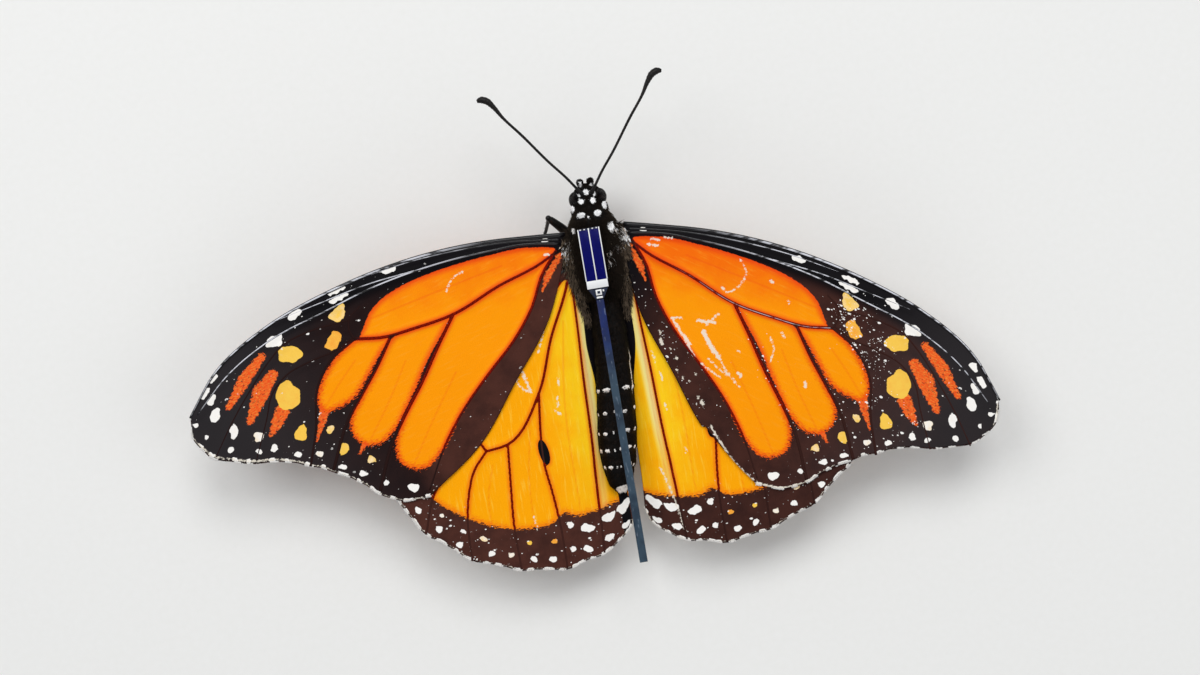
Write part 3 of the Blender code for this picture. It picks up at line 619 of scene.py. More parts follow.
def set_points(mesh, points):
    mesh.vertices.foreach_set("co", np.asarray(points, np.float32).ravel())
    mesh.update()


def mesh_from(name, bm):
    mesh = bpy.data.meshes.new(name)
    bm.to_mesh(mesh)
    bm.free()
    return mesh


def grid(name, across, down):
    """A flat grid as a mesh, and its points' two coordinates from 0 to 1."""
    bm = bmesh.new()
    bmesh.ops.create_grid(bm, x_segments=across, y_segments=down, size=0.5)
    mesh = mesh_from(name, bm)
    return mesh, points_of(mesh)[:, :2] + 0.5


def corners_of(mesh):
    """The vertex of each face corner."""
    corners = np.empty(len(mesh.loops), np.int32)
    mesh.loops.foreach_get("vertex_index", corners)
    return corners


def unwrap(mesh, coordinates):
    """Give a mesh its own map, from two coordinates at each point or at each face corner."""
    if len(coordinates) == len(mesh.vertices):
        coordinates = coordinates[corners_of(mesh)]
    layer = mesh.uv_layers.new(name="OFBake")
    layer.data.foreach_set("uv", np.asarray(coordinates, np.float32).ravel())


def weld(mesh):
    """Weld a mesh drawn in millimetres, turn its faces outwards and put it in the frame."""
    bm = bmesh.new()
    bm.from_mesh(mesh)
    bmesh.ops.remove_doubles(bm, verts=bm.verts, dist=1e-3)
    bmesh.ops.dissolve_degenerate(bm, edges=bm.edges, dist=1e-5)
    bmesh.ops.recalc_face_normals(bm, faces=bm.faces)
    bm.to_mesh(mesh)
    bm.free()
    set_points(mesh, in_frame(points_of(mesh)))


def attribute(mesh, name, values):
    """Store a number or a vector on each point of a mesh."""
    values = np.asarray(values, np.float32)
    kind, field = ("FLOAT", "value") if values.ndim == 1 else ("FLOAT_VECTOR", "vector")
    mesh.attributes.new(name, kind, "POINT").data.foreach_set(field, values.ravel())


def piece(mesh, materials, replaced=(), sharp_degrees=None):
    """Link a finished mesh, as a piece of its name that rides on the butterfly."""
    mesh.shade_smooth()
    if sharp_degrees is not None:
        mesh.set_sharp_from_angle(angle=math.radians(sharp_degrees))
    for material in materials:
        mesh.materials.append(material)
    obj = bpy.data.objects.new(mesh.name, mesh)
    bpy.context.scene.collection.objects.link(obj)
    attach(obj, "root")
    if replaced:
        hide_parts(*replaced)


def mesh_of(name, bm):
    """Turn a bmesh drawn in millimetres into a mesh in the frame."""
    bmesh.ops.recalc_face_normals(bm, faces=bm.faces)
    shift = Matrix.Translation([value * MM for value in THORAX_AT])
    bmesh.ops.transform(bm, matrix=shift @ Matrix.Scale(MM, 4), verts=bm.verts)
    return mesh_from(name, bm)


def add_tube(bm, rows, rings, sides, flat=1.0, profile=None, up=(0.0, 0.0, 1.0)):
    """Add a closed round limb along rows of (x, y, z, radius). profile(t) scales its radius."""
    made = bmesh.ops.create_grid(bm, x_segments=rings, y_segments=sides, size=0.5)["verts"]
    place = np.array([vert.co[:2] for vert in made]) + 0.5
    centre = along(rows, place[:, 0])
    radius = centre[:, 3] if profile is None else centre[:, 3] * profile(place[:, 0])
    step = 0.5 / rings
    ahead = along(rows, np.clip(place[:, 0] + step, 0, 1))[:, :3]
    behind = along(rows, np.clip(place[:, 0] - step, 0, 1))[:, :3]
    forward = unit(ahead - behind)
    side = unit(np.cross(forward, np.asarray(up, float)))
    over = np.cross(side, forward)
    turn = 2 * math.pi * place[:, 1]
    radial = side * np.cos(turn)[:, None] + over * np.sin(turn)[:, None] * flat
    for vert, co in zip(made, centre[:, :3] + radial * radius[:, None]):
        vert.co = co
    return seal(bm, made)


def seal(bm, made):
    """Weld a wrapped grid's seam and cap its ends. Returns its vertices."""
    faces = list({face for vert in made for face in vert.link_faces})
    bmesh.ops.remove_doubles(bm, verts=made, dist=1e-4)
    faces = [face for face in faces if face.is_valid]
    edges = list({edge for face in faces for edge in face.edges if edge.is_boundary})
    faces += bmesh.ops.holes_fill(bm, edges=edges, sides=0)["faces"]
    bmesh.ops.recalc_face_normals(bm, faces=faces)
    return [vert for vert in made if vert.is_valid]


def add_ball(bm, centre, radii, segments=24, turn=Matrix()):
    """Add an ellipsoid."""
    matrix = Matrix.Translation(centre) @ turn @ Matrix.Diagonal((*radii, 1.0))
    half = max(segments // 2, 4)
    bmesh.ops.create_uvsphere(bm, u_segments=segments, v_segments=half, radius=1.0, matrix=matrix)


def spike(cuts):
    """One tuft as a three-sided tapered spike, one unit wide and tall: its points and triangles."""
    bm = bmesh.new()
    bmesh.ops.create_cone(bm, segments=3, cap_ends=True, radius1=0.5, radius2=0.06, depth=1.0)
    bmesh.ops.translate(bm, vec=(0, 0, 0.5), verts=bm.verts)
    for height in cuts:
        everything = bm.verts[:] + bm.edges[:] + bm.faces[:]
        bmesh.ops.bisect_plane(bm, geom=everything, plane_co=(0, 0, height), plane_no=(0, 0, 1))
    for vert in bm.verts:
        if 1e-4 < vert.co.z < 1 - 1e-4:
            vert.co.x *= 1.35
            vert.co.y *= 1.35
    bm.verts.index_update()
    bmesh.ops.triangulate(bm, faces=bm.faces)
    points = np.array([vert.co[:] for vert in bm.verts])
    faces = np.array([[vert.index for vert in face.verts] for face in bm.faces])
    bm.free()
    return points, faces


def joined(name, shape, root, grow, side, length, width, bend, droop, depth=0.6):
    """One mesh of many copies of a unit shape, each at its root, along grow, bending towards droop."""
    points, faces = shape
    x, y, z = points.T
    front = np.cross(grow, side)
    tall = z[None, :, None] * length[:, None, None]
    placed = root[:, None] + grow[:, None] * tall
    placed = placed + side[:, None] * (x[None, :, None] * width[:, None, None])
    placed = placed + front[:, None] * (y[None, :, None] * width[:, None, None] * depth)
    placed = placed + droop[:, None] * (z[None, :, None] ** 2 * (length * bend)[:, None, None])
    every = (faces[None] + (np.arange(len(root)) * len(points))[:, None, None]).reshape(-1, 3)
    mesh = bpy.data.meshes.new(name)
    mesh.from_pydata(in_frame(placed.reshape(-1, 3)), [], every)
    return mesh


# ------------------------------------------------------------------ materials


def add(tree, kind, inputs=(), out=0, **settings):
    """Add a shader node with its settings and links, and return one of its outputs."""
    made = tree.nodes.new("ShaderNode" + kind)
    for key, value in settings.items():
        setattr(made, key, value)
    for key, value in inputs.items() if isinstance(inputs, dict) else enumerate(inputs):
        if isinstance(value, bpy.types.NodeSocket):
            tree.links.new(value, made.inputs[key])
        else:
            made.inputs[key].default_value = value
    return made.outputs[out]


def add_each(tree, kind, inputs, out=0, **settings):
    """Add a node with the same settings for each named row of inputs, and return their outputs by name."""
    return {name: add(tree, kind, row, out, **settings) for name, row in inputs.items()}


def surface(name, **levels):
    """A new material: its node tree and its Principled shader, with fixed levels on the sockets."""
    material = bpy.data.materials.new(name)
    material.use_nodes = True
    shader = material.node_tree.nodes["Principled BSDF"]
    for socket, value in levels.items():
        shader.inputs[socket.replace("_", " ")].default_value = value
    return material, material.node_tree, shader


def kept(name, make, *settings):
    """A material by name, made once for all the pieces that share it."""
    return bpy.data.materials.get(name) or make(name, *settings)


def millimetres(tree):
    """A piece's own coordinates in millimetres."""
    place = add(tree, "TexCoord", out="Object")
    return add(tree, "VectorMath", {0: place, "Scale": 1 / MM}, operation="SCALE")


def waves_of(tree, place, waves):
    """Noises by name, from their waves per millimetre, the same or for each axis, detail and roughness."""
    made = {}
    for name, (scale, detail, roughness) in waves.items():
        scale = scale if isinstance(scale, tuple) else (scale,) * 3
        at = add(tree, "Mapping", {"Vector": place, "Scale": scale})
        settings = {"Vector": at, "Scale": 1.0, "Detail": detail, "Roughness": roughness}
        made[name] = add(tree, "TexNoise", settings)
    return made


def layered(tree, base, layers):
    """Lay colours over a base colour, each as strongly as the product of its two shares."""
    for share, strength, over in layers:
        amount = add(tree, "Math", (share, strength), operation="MULTIPLY")
        base = add(tree, "Mix", {0: amount, 6: base, 7: over}, 2, data_type="RGBA")
    return base


def dress(tree, shader, colour, height=None, depth=0.02, strength=0.3, gloss=None):
    """Link a material's colour, its bump with a depth in millimetres, and its roughness from a wave."""
    tree.links.new(colour, shader.inputs["Base Color"])
    if height is not None:
        bump = add(tree, "Bump", {"Height": height, "Strength": strength, "Distance": depth * MM})
        tree.links.new(bump, shader.inputs["Normal"])
    if gloss is not None:
        wave, low, high = gloss
        tree.links.new(add(tree, "MapRange", {0: wave, 3: low, 4: high}), shader.inputs["Roughness"])


def wing_finish(name, colours, wing, under):
    """Scaled wing membrane: overlapping dusty scales, satin, with ragged edges between colours.

    Rows of scales give a fine grain across the wing; the orange turns redder beside the black.
    """
    material, tree, shader = surface(name, Specular_IOR_Level=0.06)
    tones = [getattr(colours, tone) for tone in wing["tones"]]
    lie = add(tree, "Attribute", out="Vector", attribute_name="lie")
    mark = {key: add(tree, "Attribute", out="Fac", attribute_name=key) for key in WING_MARKS}
    # Scales are 0.1 mm wide and stand in rows 0.14 mm apart, so the edges are ragged at that size.
    waves = {
        "ragged": ((2.2, 7.0, 1.0), 3.0, 0.6),
        "grain": ((9.0, 9.0, 1.0), 2.0, 0.7),
        "blotch": ((0.35, 0.35, 1.0), 3.0, 0.6),
        "lump": ((1.3, 1.3, 1.0), 2.0, 0.5),
        "streak": (wing["streaks"], 3.0, 0.6),
        "scuff": ((2.6, 2.6, 1.0), 3.0, 0.7),
    }
    wave = waves_of(tree, lie, waves)
    # Each mark's edge is made uneven by a wave, as strongly as the number beside it.
    frayed = add(tree, "Math", (wave["ragged"], 0.5), operation="SUBTRACT")
    uneven = {
        "field": (frayed, mark["ragged"]),
        "dash": (wave["scuff"], 0.9),
        "vein": (wave["grain"], 0.16),
        "tint": (wave["lump"], 0.4),
        "fold": (wave["grain"], 0.16),
        "spot": (wave["lump"], 0.42),
        "worn_and_highlight": (wave["scuff"], 0.85),
        "tone": (wave["blotch"], 0.7),
    }
    edge = {
        key: add(tree, "Math", (by, amount, mark[key]), operation="MULTIPLY_ADD")
        for key, (by, amount) in uneven.items()
    }
    steps = {
        "brown": (wave["blotch"], 0.25, 0.65, 0.6, 1.0),
        "dust": (wave["grain"], 0.66, 0.78),
        "tone": (edge["tone"], 0.35, 1.35),
        "streak": (wave["streak"], 0.52, 0.78),
        "fold": (edge["fold"], 0.3, 0.08),
        "rim": (edge["field"], 0.9, 0.0),
        "vein_rim": (edge["vein"], 0.6, 0.08),
        "orange": (edge["field"], -0.03, 0.03),
        "dash": (edge["dash"], 0.38, 0.5),
        "near_orange": (mark["field"], -0.45, 0.0),
        "clump": (wave["lump"], 0.36, 0.54),
        "vein": (edge["vein"], 0.11, 0.05),
        "dash_light": (wave["ragged"], 0.42, 0.66),
        "yellow": (edge["tint"], 0.2, 0.7),
        "amber": (edge["tint"], 0.7, 1.2),
        "spot": (edge["spot"], 0.185, 0.235),
        "worn_and_highlight": (edge["worn_and_highlight"], 0.39, 0.5),
        "pouch_and_body_shade": (mark["pouch_and_body_shade"], -0.02, 0.04),
    }
    share = add_each(tree, "MapRange", steps, **SMOOTH)
    # Over the black lie brown blotches, painted sheen and pale dust. The painted sheen is a grey that stands
    # in for the light the flat-lying black scales reflect near the tip and along the leading edge.
    black_layers = [
        (share["brown"], mark["warm"], colours.brown),
        (mark["painted_sheen"], 0.75, colours.painted_sheen),
        (share["dust"], 0.14, colours.dust),
    ]
    rim = add(tree, "Math", (share["rim"], share["vein_rim"]), operation="MAXIMUM")
    # Over the orange: tone, streaks of painted highlight, the painted highlight of the hindwing's fold
    # beside the abdomen, painted shade along the folds down the fields, and the red-brown rim beside the
    # veins and the black.
    orange_layers = [
        (share["tone"], 1.0, tones[1]),
        (share["streak"], 0.45, tones[2]),
        (mark["fold_highlight"], 0.88, colours.fold_highlight),
        (share["fold"], 0.28, colours.rim),
        (rim, wing["rim_strength"], colours.rim),
    ]
    tint_layers = [(share["yellow"], 1.0, colours.spot_yellow), (share["amber"], 1.0, colours.spot_amber)]
    layers = [
        (share["dash"], 0.95, layered(tree, colours.dash, [(share["dash_light"], 1.0, colours.dash_light)])),
        (share["orange"], 1.0, layered(tree, tones[0], orange_layers)),
        (share["vein"], share["near_orange"], colours.vein),
        # Black of the scent patch, and painted shade: black right against the abdomen, which shades the wing
        # there.
        (share["pouch_and_body_shade"], 1.0, colours.black),
        (share["spot"], 1.0, layered(tree, colours.spot_white, tint_layers)),
        # Scuffs where scales are rubbed off, and painted highlights along some edges and a fold.
        (share["worn_and_highlight"], 0.85, colours.worn_and_highlight),
    ]
    # Stray white scales, alone and in clumps, as flecks up to 0.3 and 0.15 mm long in cells of two meshes.
    for cells_per_mm in (1.5, 3.2):
        scale = (cells_per_mm, cells_per_mm * 1.6, 1.0)
        at = add(tree, "Mapping", {"Vector": lie, "Rotation": (0.0, 0.0, 0.5), "Scale": scale})
        distance = add(tree, "TexVoronoi", {"Vector": at, "Scale": 1.0})
        random = add(tree, "SeparateColor", (distance.node.outputs["Color"],)).node.outputs
        outline = add(tree, "Math", (wave["scuff"], 0.5, distance), operation="MULTIPLY_ADD")
        outline = add(tree, "Math", (random["Green"], -0.3, outline), operation="MULTIPLY_ADD")
        wanted = add(tree, "Math", (mark["flecks"], share["clump"]), operation="MULTIPLY")
        chance = add(tree, "Math", (wanted, random["Red"]), operation="SUBTRACT")
        size = add(tree, "MapRange", (outline, 0.36, 0.28), **SMOOTH)
        layers.append((size, add(tree, "MapRange", (chance, 0.0, 0.05), **SMOOTH), colours.spot_white))
    colour = layered(tree, layered(tree, colours.black, black_layers), layers)
    if under:
        # Below, buff scales veil the tip and the hindwing, whitish beside the veins.
        steps = {"from_vein": (edge["vein"], 0.18, 0.53), "cover": (edge["vein"], 0.08, 0.16, 0.0, 0.8)}
        veils = add_each(tree, "MapRange", steps, **SMOOTH)
        pale = layered(tree, colours.spot_white, [(veils["from_vein"], 1.0, colours.pale_below)])
        cover = add(tree, "Math", (veils["cover"], share["orange"]), operation="MULTIPLY")
        colour = layered(tree, colour, [(cover, mark["pale_below"], pale)])
    # Rows of overlapping scales, drawn 0.28 mm apart so that they show, ripple the surface.
    rows = {"Vector": lie, "Scale": 1.1, "Distortion": 3.0, "Detail": 2.0, "Detail Scale": 4.0}
    ripple = add(tree, "TexWave", rows, 1)
    height = add(tree, "Math", (ripple, 0.35, wave["grain"]), operation="MULTIPLY_ADD")
    dress(tree, shader, colour, height, 0.05, 0.28, (wave["grain"], 0.5, 0.75))
    return material


def vein_finish(name, colours, specular, roughness, shine, ridge):
    """Hollow vein: ribbed horn under small scales, maroon over the orange and black elsewhere."""
    material, tree, shader = surface(name, Specular_IOR_Level=specular)
    mark = {key: add(tree, "Attribute", out="Fac", attribute_name=key) for key in VEIN_MARKS}
    upward = add(tree, "SeparateXYZ", (add(tree, "TexCoord", out="Normal"),), "Z")
    waves = {"grain": (7.0, 2.0, 0.6), "rubbed": ((0.35, 1.6, 1.6), 3.0, 0.6)}
    wave = waves_of(tree, millimetres(tree), waves)
    grain = wave["grain"]
    steps = {
        "orange": (mark["field"], -0.1, 0.1),
        "red": (grain, 0.4, 0.65),
        "rubbed": (wave["rubbed"], 0.36, 0.55),
        "ridge": (upward, ridge, 1.06 * ridge),
    }
    share = add_each(tree, "MapRange", steps, **SMOOTH)
    maroon = layered(tree, colours.vein, [(share["red"], 0.7, colours.vein_red)])
    # Painted highlight: pale colour on the upward-facing ridge of the veins, broken into dashes by a wave,
    # stands in for the light that the leading veins catch. The wave named rubbed does no more than break it
    # up.
    pale = add(tree, "Math", (share["rubbed"], share["ridge"]), operation="MULTIPLY")
    worn_and_highlight = add(tree, "Math", (mark["shine"], mark["bare"]), operation="MULTIPLY")
    layers = [
        (mark["warm"], 0.6, colours.brown),
        (share["orange"], 1.0, maroon),
        (add(tree, "Math", (pale, worn_and_highlight), operation="MULTIPLY"), shine, colours.vein_painted_highlight),
    ]
    colour = layered(tree, colours.black, layers)
    dress(tree, shader, colour, grain, 0.03, 0.4, (grain, roughness - 0.1, roughness + 0.1))
    return material


def chitin(name, dark, light, roughness, scale, coat=0.05):
    """Insect horn: a smooth hard shell with a waxy shine, a little uneven, and lighter where it is thin."""
    material, tree, shader = surface(name, Specular_IOR_Level=0.22, Coat_Weight=coat, Coat_Roughness=0.2)
    uneven = waves_of(tree, millimetres(tree), {"uneven": (scale, 3.0, 0.6)})["uneven"]
    share = add(tree, "MapRange", (uneven, 0.5, 0.8), **SMOOTH)
    gloss = (uneven, roughness - 0.1, roughness + 0.15)
    dress(tree, shader, layered(tree, dark, [(share, 1.0, light)]), uneven, 0.02, 0.3, gloss)
    return material


def hair_finish(name, colours):
    """Hair and scales of chitin: matt black, greyer at the tips of the long ones, white in the patches."""
    material, tree, shader = surface(name, Roughness=0.8, Specular_IOR_Level=0.03)
    mark = {key: add(tree, "Attribute", out="Fac", attribute_name=key) for key in HAIR_MARKS}
    ragged = add(tree, "Math", (mark["shade"], 0.1, mark["pale"]), operation="MULTIPLY_ADD")
    steps = {
        "brown": (mark["shade"], 0.55, 1.0),
        "pale": (ragged, 0.03, 0.07),
        "tip": (mark["tip"], -0.1, 0.6),
    }
    share = add_each(tree, "MapRange", steps, **SMOOTH)
    white = layered(tree, colours.patch_white, [(mark["tint"], 1.0, colours.patch_cream)])
    layers = [
        (share["brown"], 1.0, colours.hair_brown),
        (share["tip"], mark["grey"], colours.hair_grey),
        (share["pale"], 1.0, white),
    ]
    dress(tree, shader, layered(tree, colours.hair_black, layers))
    return material


def skin_finish(colours):
    """Black cuticle under the coat: small scales lie on it like tiles, white in the patches."""
    material, tree, shader = surface("butterfly_cuticle", Roughness=0.6, Specular_IOR_Level=0.08)
    place = millimetres(tree)
    mark = {key: add(tree, "Attribute", out="Fac", attribute_name=key) for key in ("pale", "tint")}
    wave = waves_of(tree, place, {"ragged": (6.0, 2.0, 0.5), "brown": (1.4, 4.0, 0.5)})
    tiles = add(tree, "TexVoronoi", {"Vector": place, "Scale": 7.0})
    ragged = add(tree, "Math", (wave["ragged"], 0.3, mark["pale"]), operation="MULTIPLY_ADD")
    steps = {"brown": (wave["brown"], 0.45, 0.75), "pale": (ragged, 0.1, 0.16)}
    share = add_each(tree, "MapRange", steps, **SMOOTH)
    white = layered(tree, colours.patch_white, [(mark["tint"], 1.0, colours.patch_cream)])
    layers = [(share["brown"], 1.0, colours.hair_brown), (share["pale"], 1.0, white)]
    dress(tree, shader, layered(tree, colours.hair_black, layers), tiles, 0.04, 0.5)
    return material


def fringe_finish(name, colours):
    """Fringe scales: matt like paper, white or black."""
    material, tree, shader = surface(name, Roughness=0.7, Specular_IOR_Level=0.1)
    mark = {key: add(tree, "Attribute", out="Fac", attribute_name=key) for key in ("white", "shade")}
    black = layered(tree, colours.black, [(mark["shade"], 1.0, colours.brown)])
    dress(tree, shader, layered(tree, black, [(mark["white"], 1.0, colours.spot_white)]))
    return material


# ------------------------------------------------------------------ sizes and colours to change


def length(name, description, millimetres):
    shown = {"name": name, "description": description, "unit": "LENGTH"}
    return FloatProperty(default=millimetres * MM, min=0.0, **shown)


def colour(name, description, hex_colour):
    shown = {"name": name, "description": description, "subtype": "COLOR"}
    return FloatVectorProperty(default=srgb(hex_colour), size=4, min=0.0, max=1.0, **shown)


def number(name, description, default):
    return IntProperty(name=name, description=description, default=default, min=0)


def level(name, description, default):
    return FloatProperty(name=name, description=description, default=default, min=0.0)


class WingSettings(bpy.types.PropertyGroup):
    thickness: length("Membrane", "Thickness of a wing with its scales", 0.12)
    fringe: length("Fringe", "Length of the hair scales along a wing's edge", 0.3)
    forewing_orange: colour("Forewing orange", "Orange in the middle of the forewing's fields", "#FF9A00")
    forewing_red: colour("Forewing red", "Redder orange near the forewing's root", "#F86C04")
    hindwing_yellow: colour("Hindwing yellow", "Yellow beside the body", "#FFD01A")
    hindwing_amber: colour("Hindwing amber", "Amber of the hindwing", "#FFA800")
    forewing_light: colour("Forewing streaks", "Where the forewing's scales catch the light", "#FFA82C")
    hindwing_light: colour("Hindwing streaks", "Where the hindwing's scales catch the light", "#FFE052")
    # Painted highlight: the pale strip where the hindwing bends down into its fold beside the abdomen and
    # catches the light.
    fold_highlight: colour("Cream", "Pale strip of the hindwing beside the abdomen", "#FFF09C")
    rim: colour("Rim", "Red-brown rim of the orange beside the veins", "#EE4410")
    dash: colour("Dashes", "Red-orange dashes near the forewing's tip", "#F4561C")
    dash_light: colour("Lighter dashes", "Orange scales among the red ones of the dashes", "#F88A38")
    vein: colour("Veins", "Scales on the veins over the orange", "#5C0600")
    vein_red: colour("Vein red", "Redder scales on those veins", "#A81A00")
    # Painted highlight: the pale colour laid along the top ridge of the leading veins in place of the light
    # they catch.
    vein_painted_highlight: colour("Vein shine", "Rubbed places of the leading veins, which shine pale", "#DDDEE6")
    black: colour("Black", "Black scales", "#0B090D")
    brown: colour("Black-brown", "Black scales that the light browns", "#4E2C24")
    # Painted sheen: grey standing in for the light that flat-lying black scales reflect.
    painted_sheen: colour("Slate", "Black scales that lie flat and look grey", "#322F31")
    dust: colour("Dust", "Single pale scales strewn over the black", "#857C78")
    spot_white: colour("White spots", "White spots of the border", "#FBF8F3")
    spot_yellow: colour("Yellow spots", "Yellow spots near the forewing's tip", "#FBCB52")
    spot_amber: colour("Amber spots", "Amber spots near the forewing's tip", "#F9A53C")
    # Also the colour of the painted highlights along some edges and a fold.
    worn_and_highlight: colour("Worn lines", "Pale marks where scales are rubbed off", "#EFE6D6")
    pale_below: colour("Underside", "Pale buff between the veins of the underside", "#E8B872")


class BodySettings(bpy.types.PropertyGroup):
    voxel: length("Skin detail", "Size of the skin's facets", 0.12)
    thorax_hairs: number("Thorax tufts", "Tufts of hair on the thorax", 24000)
    abdomen_hairs: number("Abdomen scales", "Scales on the abdomen", 24000)
    head_hairs: number("Head tufts", "Tufts of hair on the head", 6500)
    hair_black: colour("Black hair", "Hair and scales of the body", "#090808")
    hair_brown: colour("Brown hair", "Browner hairs among the black", "#1E1612")
    hair_grey: colour("Grey tips", "Tips of the long hairs at the wings' roots", "#82715F")
    patch_white: colour("White patches", "White patches of scales", "#FFFFFF")
    patch_cream: colour("Cream patches", "Duller patches of scales", "#D8B890")
    eye_black: colour("Eye", "Compound eye", "#0B0809")
    eye_brown: colour("Eye brown", "Brown depth in the compound eye", "#2A1612")
    leg_black: colour("Leg", "Horn of the legs and feelers", "#0D0B0B")
    leg_brown: colour("Leg brown", "Thinner horn", "#2B1E19")


class TagSettings(bpy.types.PropertyGroup):
    bevel: length("Bevel", "Rounding of the tag's edges", 0.05)
    board: colour("Board", "Dark coated circuit board", "#12182A")
    board_light: colour("Board, lighter", "Threads of the board's cloth", "#1E2843")
    cell: colour("Cell", "Solar cell", "#040548")
    cell_light: colour("Cell, lighter", "Lighter clouds in the solar cell", "#090C66")
    silver: colour("Contacts", "Printed silver lines", "#E6E8EC")
    chip: colour("Chip", "Pale case of the small part on the tail", "#E9E9E6")
    strip_blue: colour("Strip, near", "Antenna film near the tag", "#0E2462")
    strip_slate: colour("Strip, far", "Antenna film towards its end", "#384A59")
    strip_scuff: colour("Strip scuffs", "Scuffs on the antenna film", "#8A97A8")


class StageSettings(bpy.types.PropertyGroup):
    floor: colour("Floor", "Plain pale floor", "#F1F1EF")
    floor_tooth: colour("Floor tooth", "Faint tooth of the floor", "#EDEDEA")
    camera_height: length("Camera height", "Height of the camera above the floor", 230.0)
    key_light: level("Key light", "Power of the main light in watts", 0.78)
    top_light: level("Top light", "Power of the light overhead in watts", 1.58)
    fill_light: level("Fill light", "Power of the fill light in watts", 0.35)
    sky: level("Sky", "Strength of the even light around", 0.375)


# ------------------------------------------------------------------ the wings


def body_at(y):
    """Centre x, centre z, half width and half height of the body at each y."""
    return read(BODY[:, 0], BODY[:, 1:], y).T


def wing_z(kind, x, y):
    """Height of a wing's membrane."""
    out = np.abs(x) - WING_ROOT_X
    height = WING_ROOT_Z + WING_PITCH * y + WING_RISE * out - WING_ARCH * out * np.abs(out)
    if kind == "forewing":
        return height + WING_GAP / 2 - WING_CLOSENESS
    depth = TROUGH_DEPTH * ramp(-y, *TROUGH_START) * (1 - (1 - TROUGH_LEFT) * ramp(-y, *TROUGH_END))
    away = (x - body_at(y)[0]) / TROUGH_WIDTH
    return height - WING_GAP / 2 + WING_CLOSENESS - depth * np.exp(-(away**2))


def patch(wing, u, w):
    """A wing's own coordinates: w runs from root to rim, u from the inner edge to the leading one."""
    inner, outer, rim = (np.array(wing[key], float) for key in ("inner", "costa", "termen"))
    u, w = u[:, None], w[:, None]
    tip = (1 - u) * inner[-1] + u * outer[-1]
    return (1 - u) * along(inner, w[:, 0]) + u * along(outer, w[:, 0]) + w * (along(rim, u[:, 0]) - tip)


def placed(kind, side_name, spot, lift=0.0):
    """Points of a wing, from its own coordinates to the body's."""
    side = SIDES[side_name]
    if kind == "hindwing":
        x, y = side * spot[:, 0], spot[:, 1]
    else:
        sweep = math.radians(FOREWING_SWEEP[side_name])
        x = side * (FOREWING_HINGE[0] + spot[:, 0] * math.cos(sweep) + spot[:, 1] * math.sin(sweep))
        y = FOREWING_HINGE[1] - spot[:, 0] * math.sin(sweep) + spot[:, 1] * math.cos(sweep)
    return np.column_stack([x, y, wing_z(kind, x, y) + lift])


def turned(spot, degrees):
    """A wing's own coordinates, turned about its hinge. degrees may differ from point to point."""
    cos, sin = np.cos(np.radians(degrees)), np.sin(np.radians(degrees))
    return np.column_stack([spot[:, 0] * cos - spot[:, 1] * sin, spot[:, 0] * sin + spot[:, 1] * cos])


def own_place(kind, side_name, points):
    """The other way round: a wing's own coordinates of points in the body's."""
    x, y = SIDES[side_name] * points[:, 0], points[:, 1]
    if kind == "hindwing":
        return np.column_stack([x, y])
    sweep = math.radians(FOREWING_SWEEP[side_name])
    cos, sin = math.cos(sweep), math.sin(sweep)
    x, y = x - FOREWING_HINGE[0], y - FOREWING_HINGE[1]
    return np.column_stack([x * cos - y * sin, x * sin + y * cos])


def orange_depth(wing, spot):
    """How deep each point of a wing lies in the nearest orange field."""
    return np.max([inside(spot, closed(outline)) for outline in wing["fields"]], axis=0)


def rim_dash(wing, t):
    """How deep, in millimetres along the rim, each fraction of the rim lies in a white dash."""
    rim = along(wing["termen"], np.linspace(0, 1, 400))
    run = t * np.linalg.norm(np.diff(rim, axis=0), axis=1).sum() / wing["dash_pitch"]
    phase = (run + 0.16 * np.sin(2.9 * run)) % 1.0
    half = wing["dash_share"] / 2
    return (half - np.abs(phase - half)) * wing["dash_pitch"]


def vein_depth(wing, spot):
    """Each point's distance from the nearest vein's painted edge and from its middle."""
    edge = np.full(len(spot), FAR)
    middle = np.full(len(spot), FAR)
    for line, start, end in wing["veins"].values():
        gap, t = from_line(spot, line)
        edge = np.minimum(edge, gap - (start + (end - start) * t))
        middle = np.minimum(middle, gap)
    return edge, middle


def scent_depth(spot):
    """How deep each point of a hindwing lies in the male's black scent patch."""
    return in_spot(spot[:, 0] - SCENT_SPOT[0], spot[:, 1] - SCENT_SPOT[1], *SCENT_SPOT[2:])


def forewing_shades(name, spot, from_costa):
    """The forewing's marks that change slowly over it, by name."""
    x, y = spot.T
    left = name.endswith("left")
    tone = ramp(0.3 * x - y, -1.0, 11.0)
    warm = WARMTH[name] * (1 - 0.8 * ramp(x, 41, 47)) * (1 - ramp(-from_costa, -4, -2)) * ramp(x, 2, 13)
    if left:
        warm = np.maximum(warm * 0.5, 0.95 * ramp(-y - 0.35 * x, 0.5, 2.5) * (1 - ramp(x, 25, 31)))
    return {
        "fold_highlight": np.zeros(len(spot)),
        "pouch_and_body_shade": np.full(len(spot), -FAR),
        # Painted sheen towards the tip and along the leading edge.
        "painted_sheen": np.maximum(ramp(x, 28, 46) * 0.9, ramp(-from_costa, -1.9, -0.5) * 0.15),
        "tone": tone + 0.35 * left * (1 - tone),
        "ragged": 0.3 + 1.7 * ramp(0.8 * x - 0.6 * y, 19, 31),
        "pale_below": ramp(x, 36, 42),
        "warm": warm,
    }


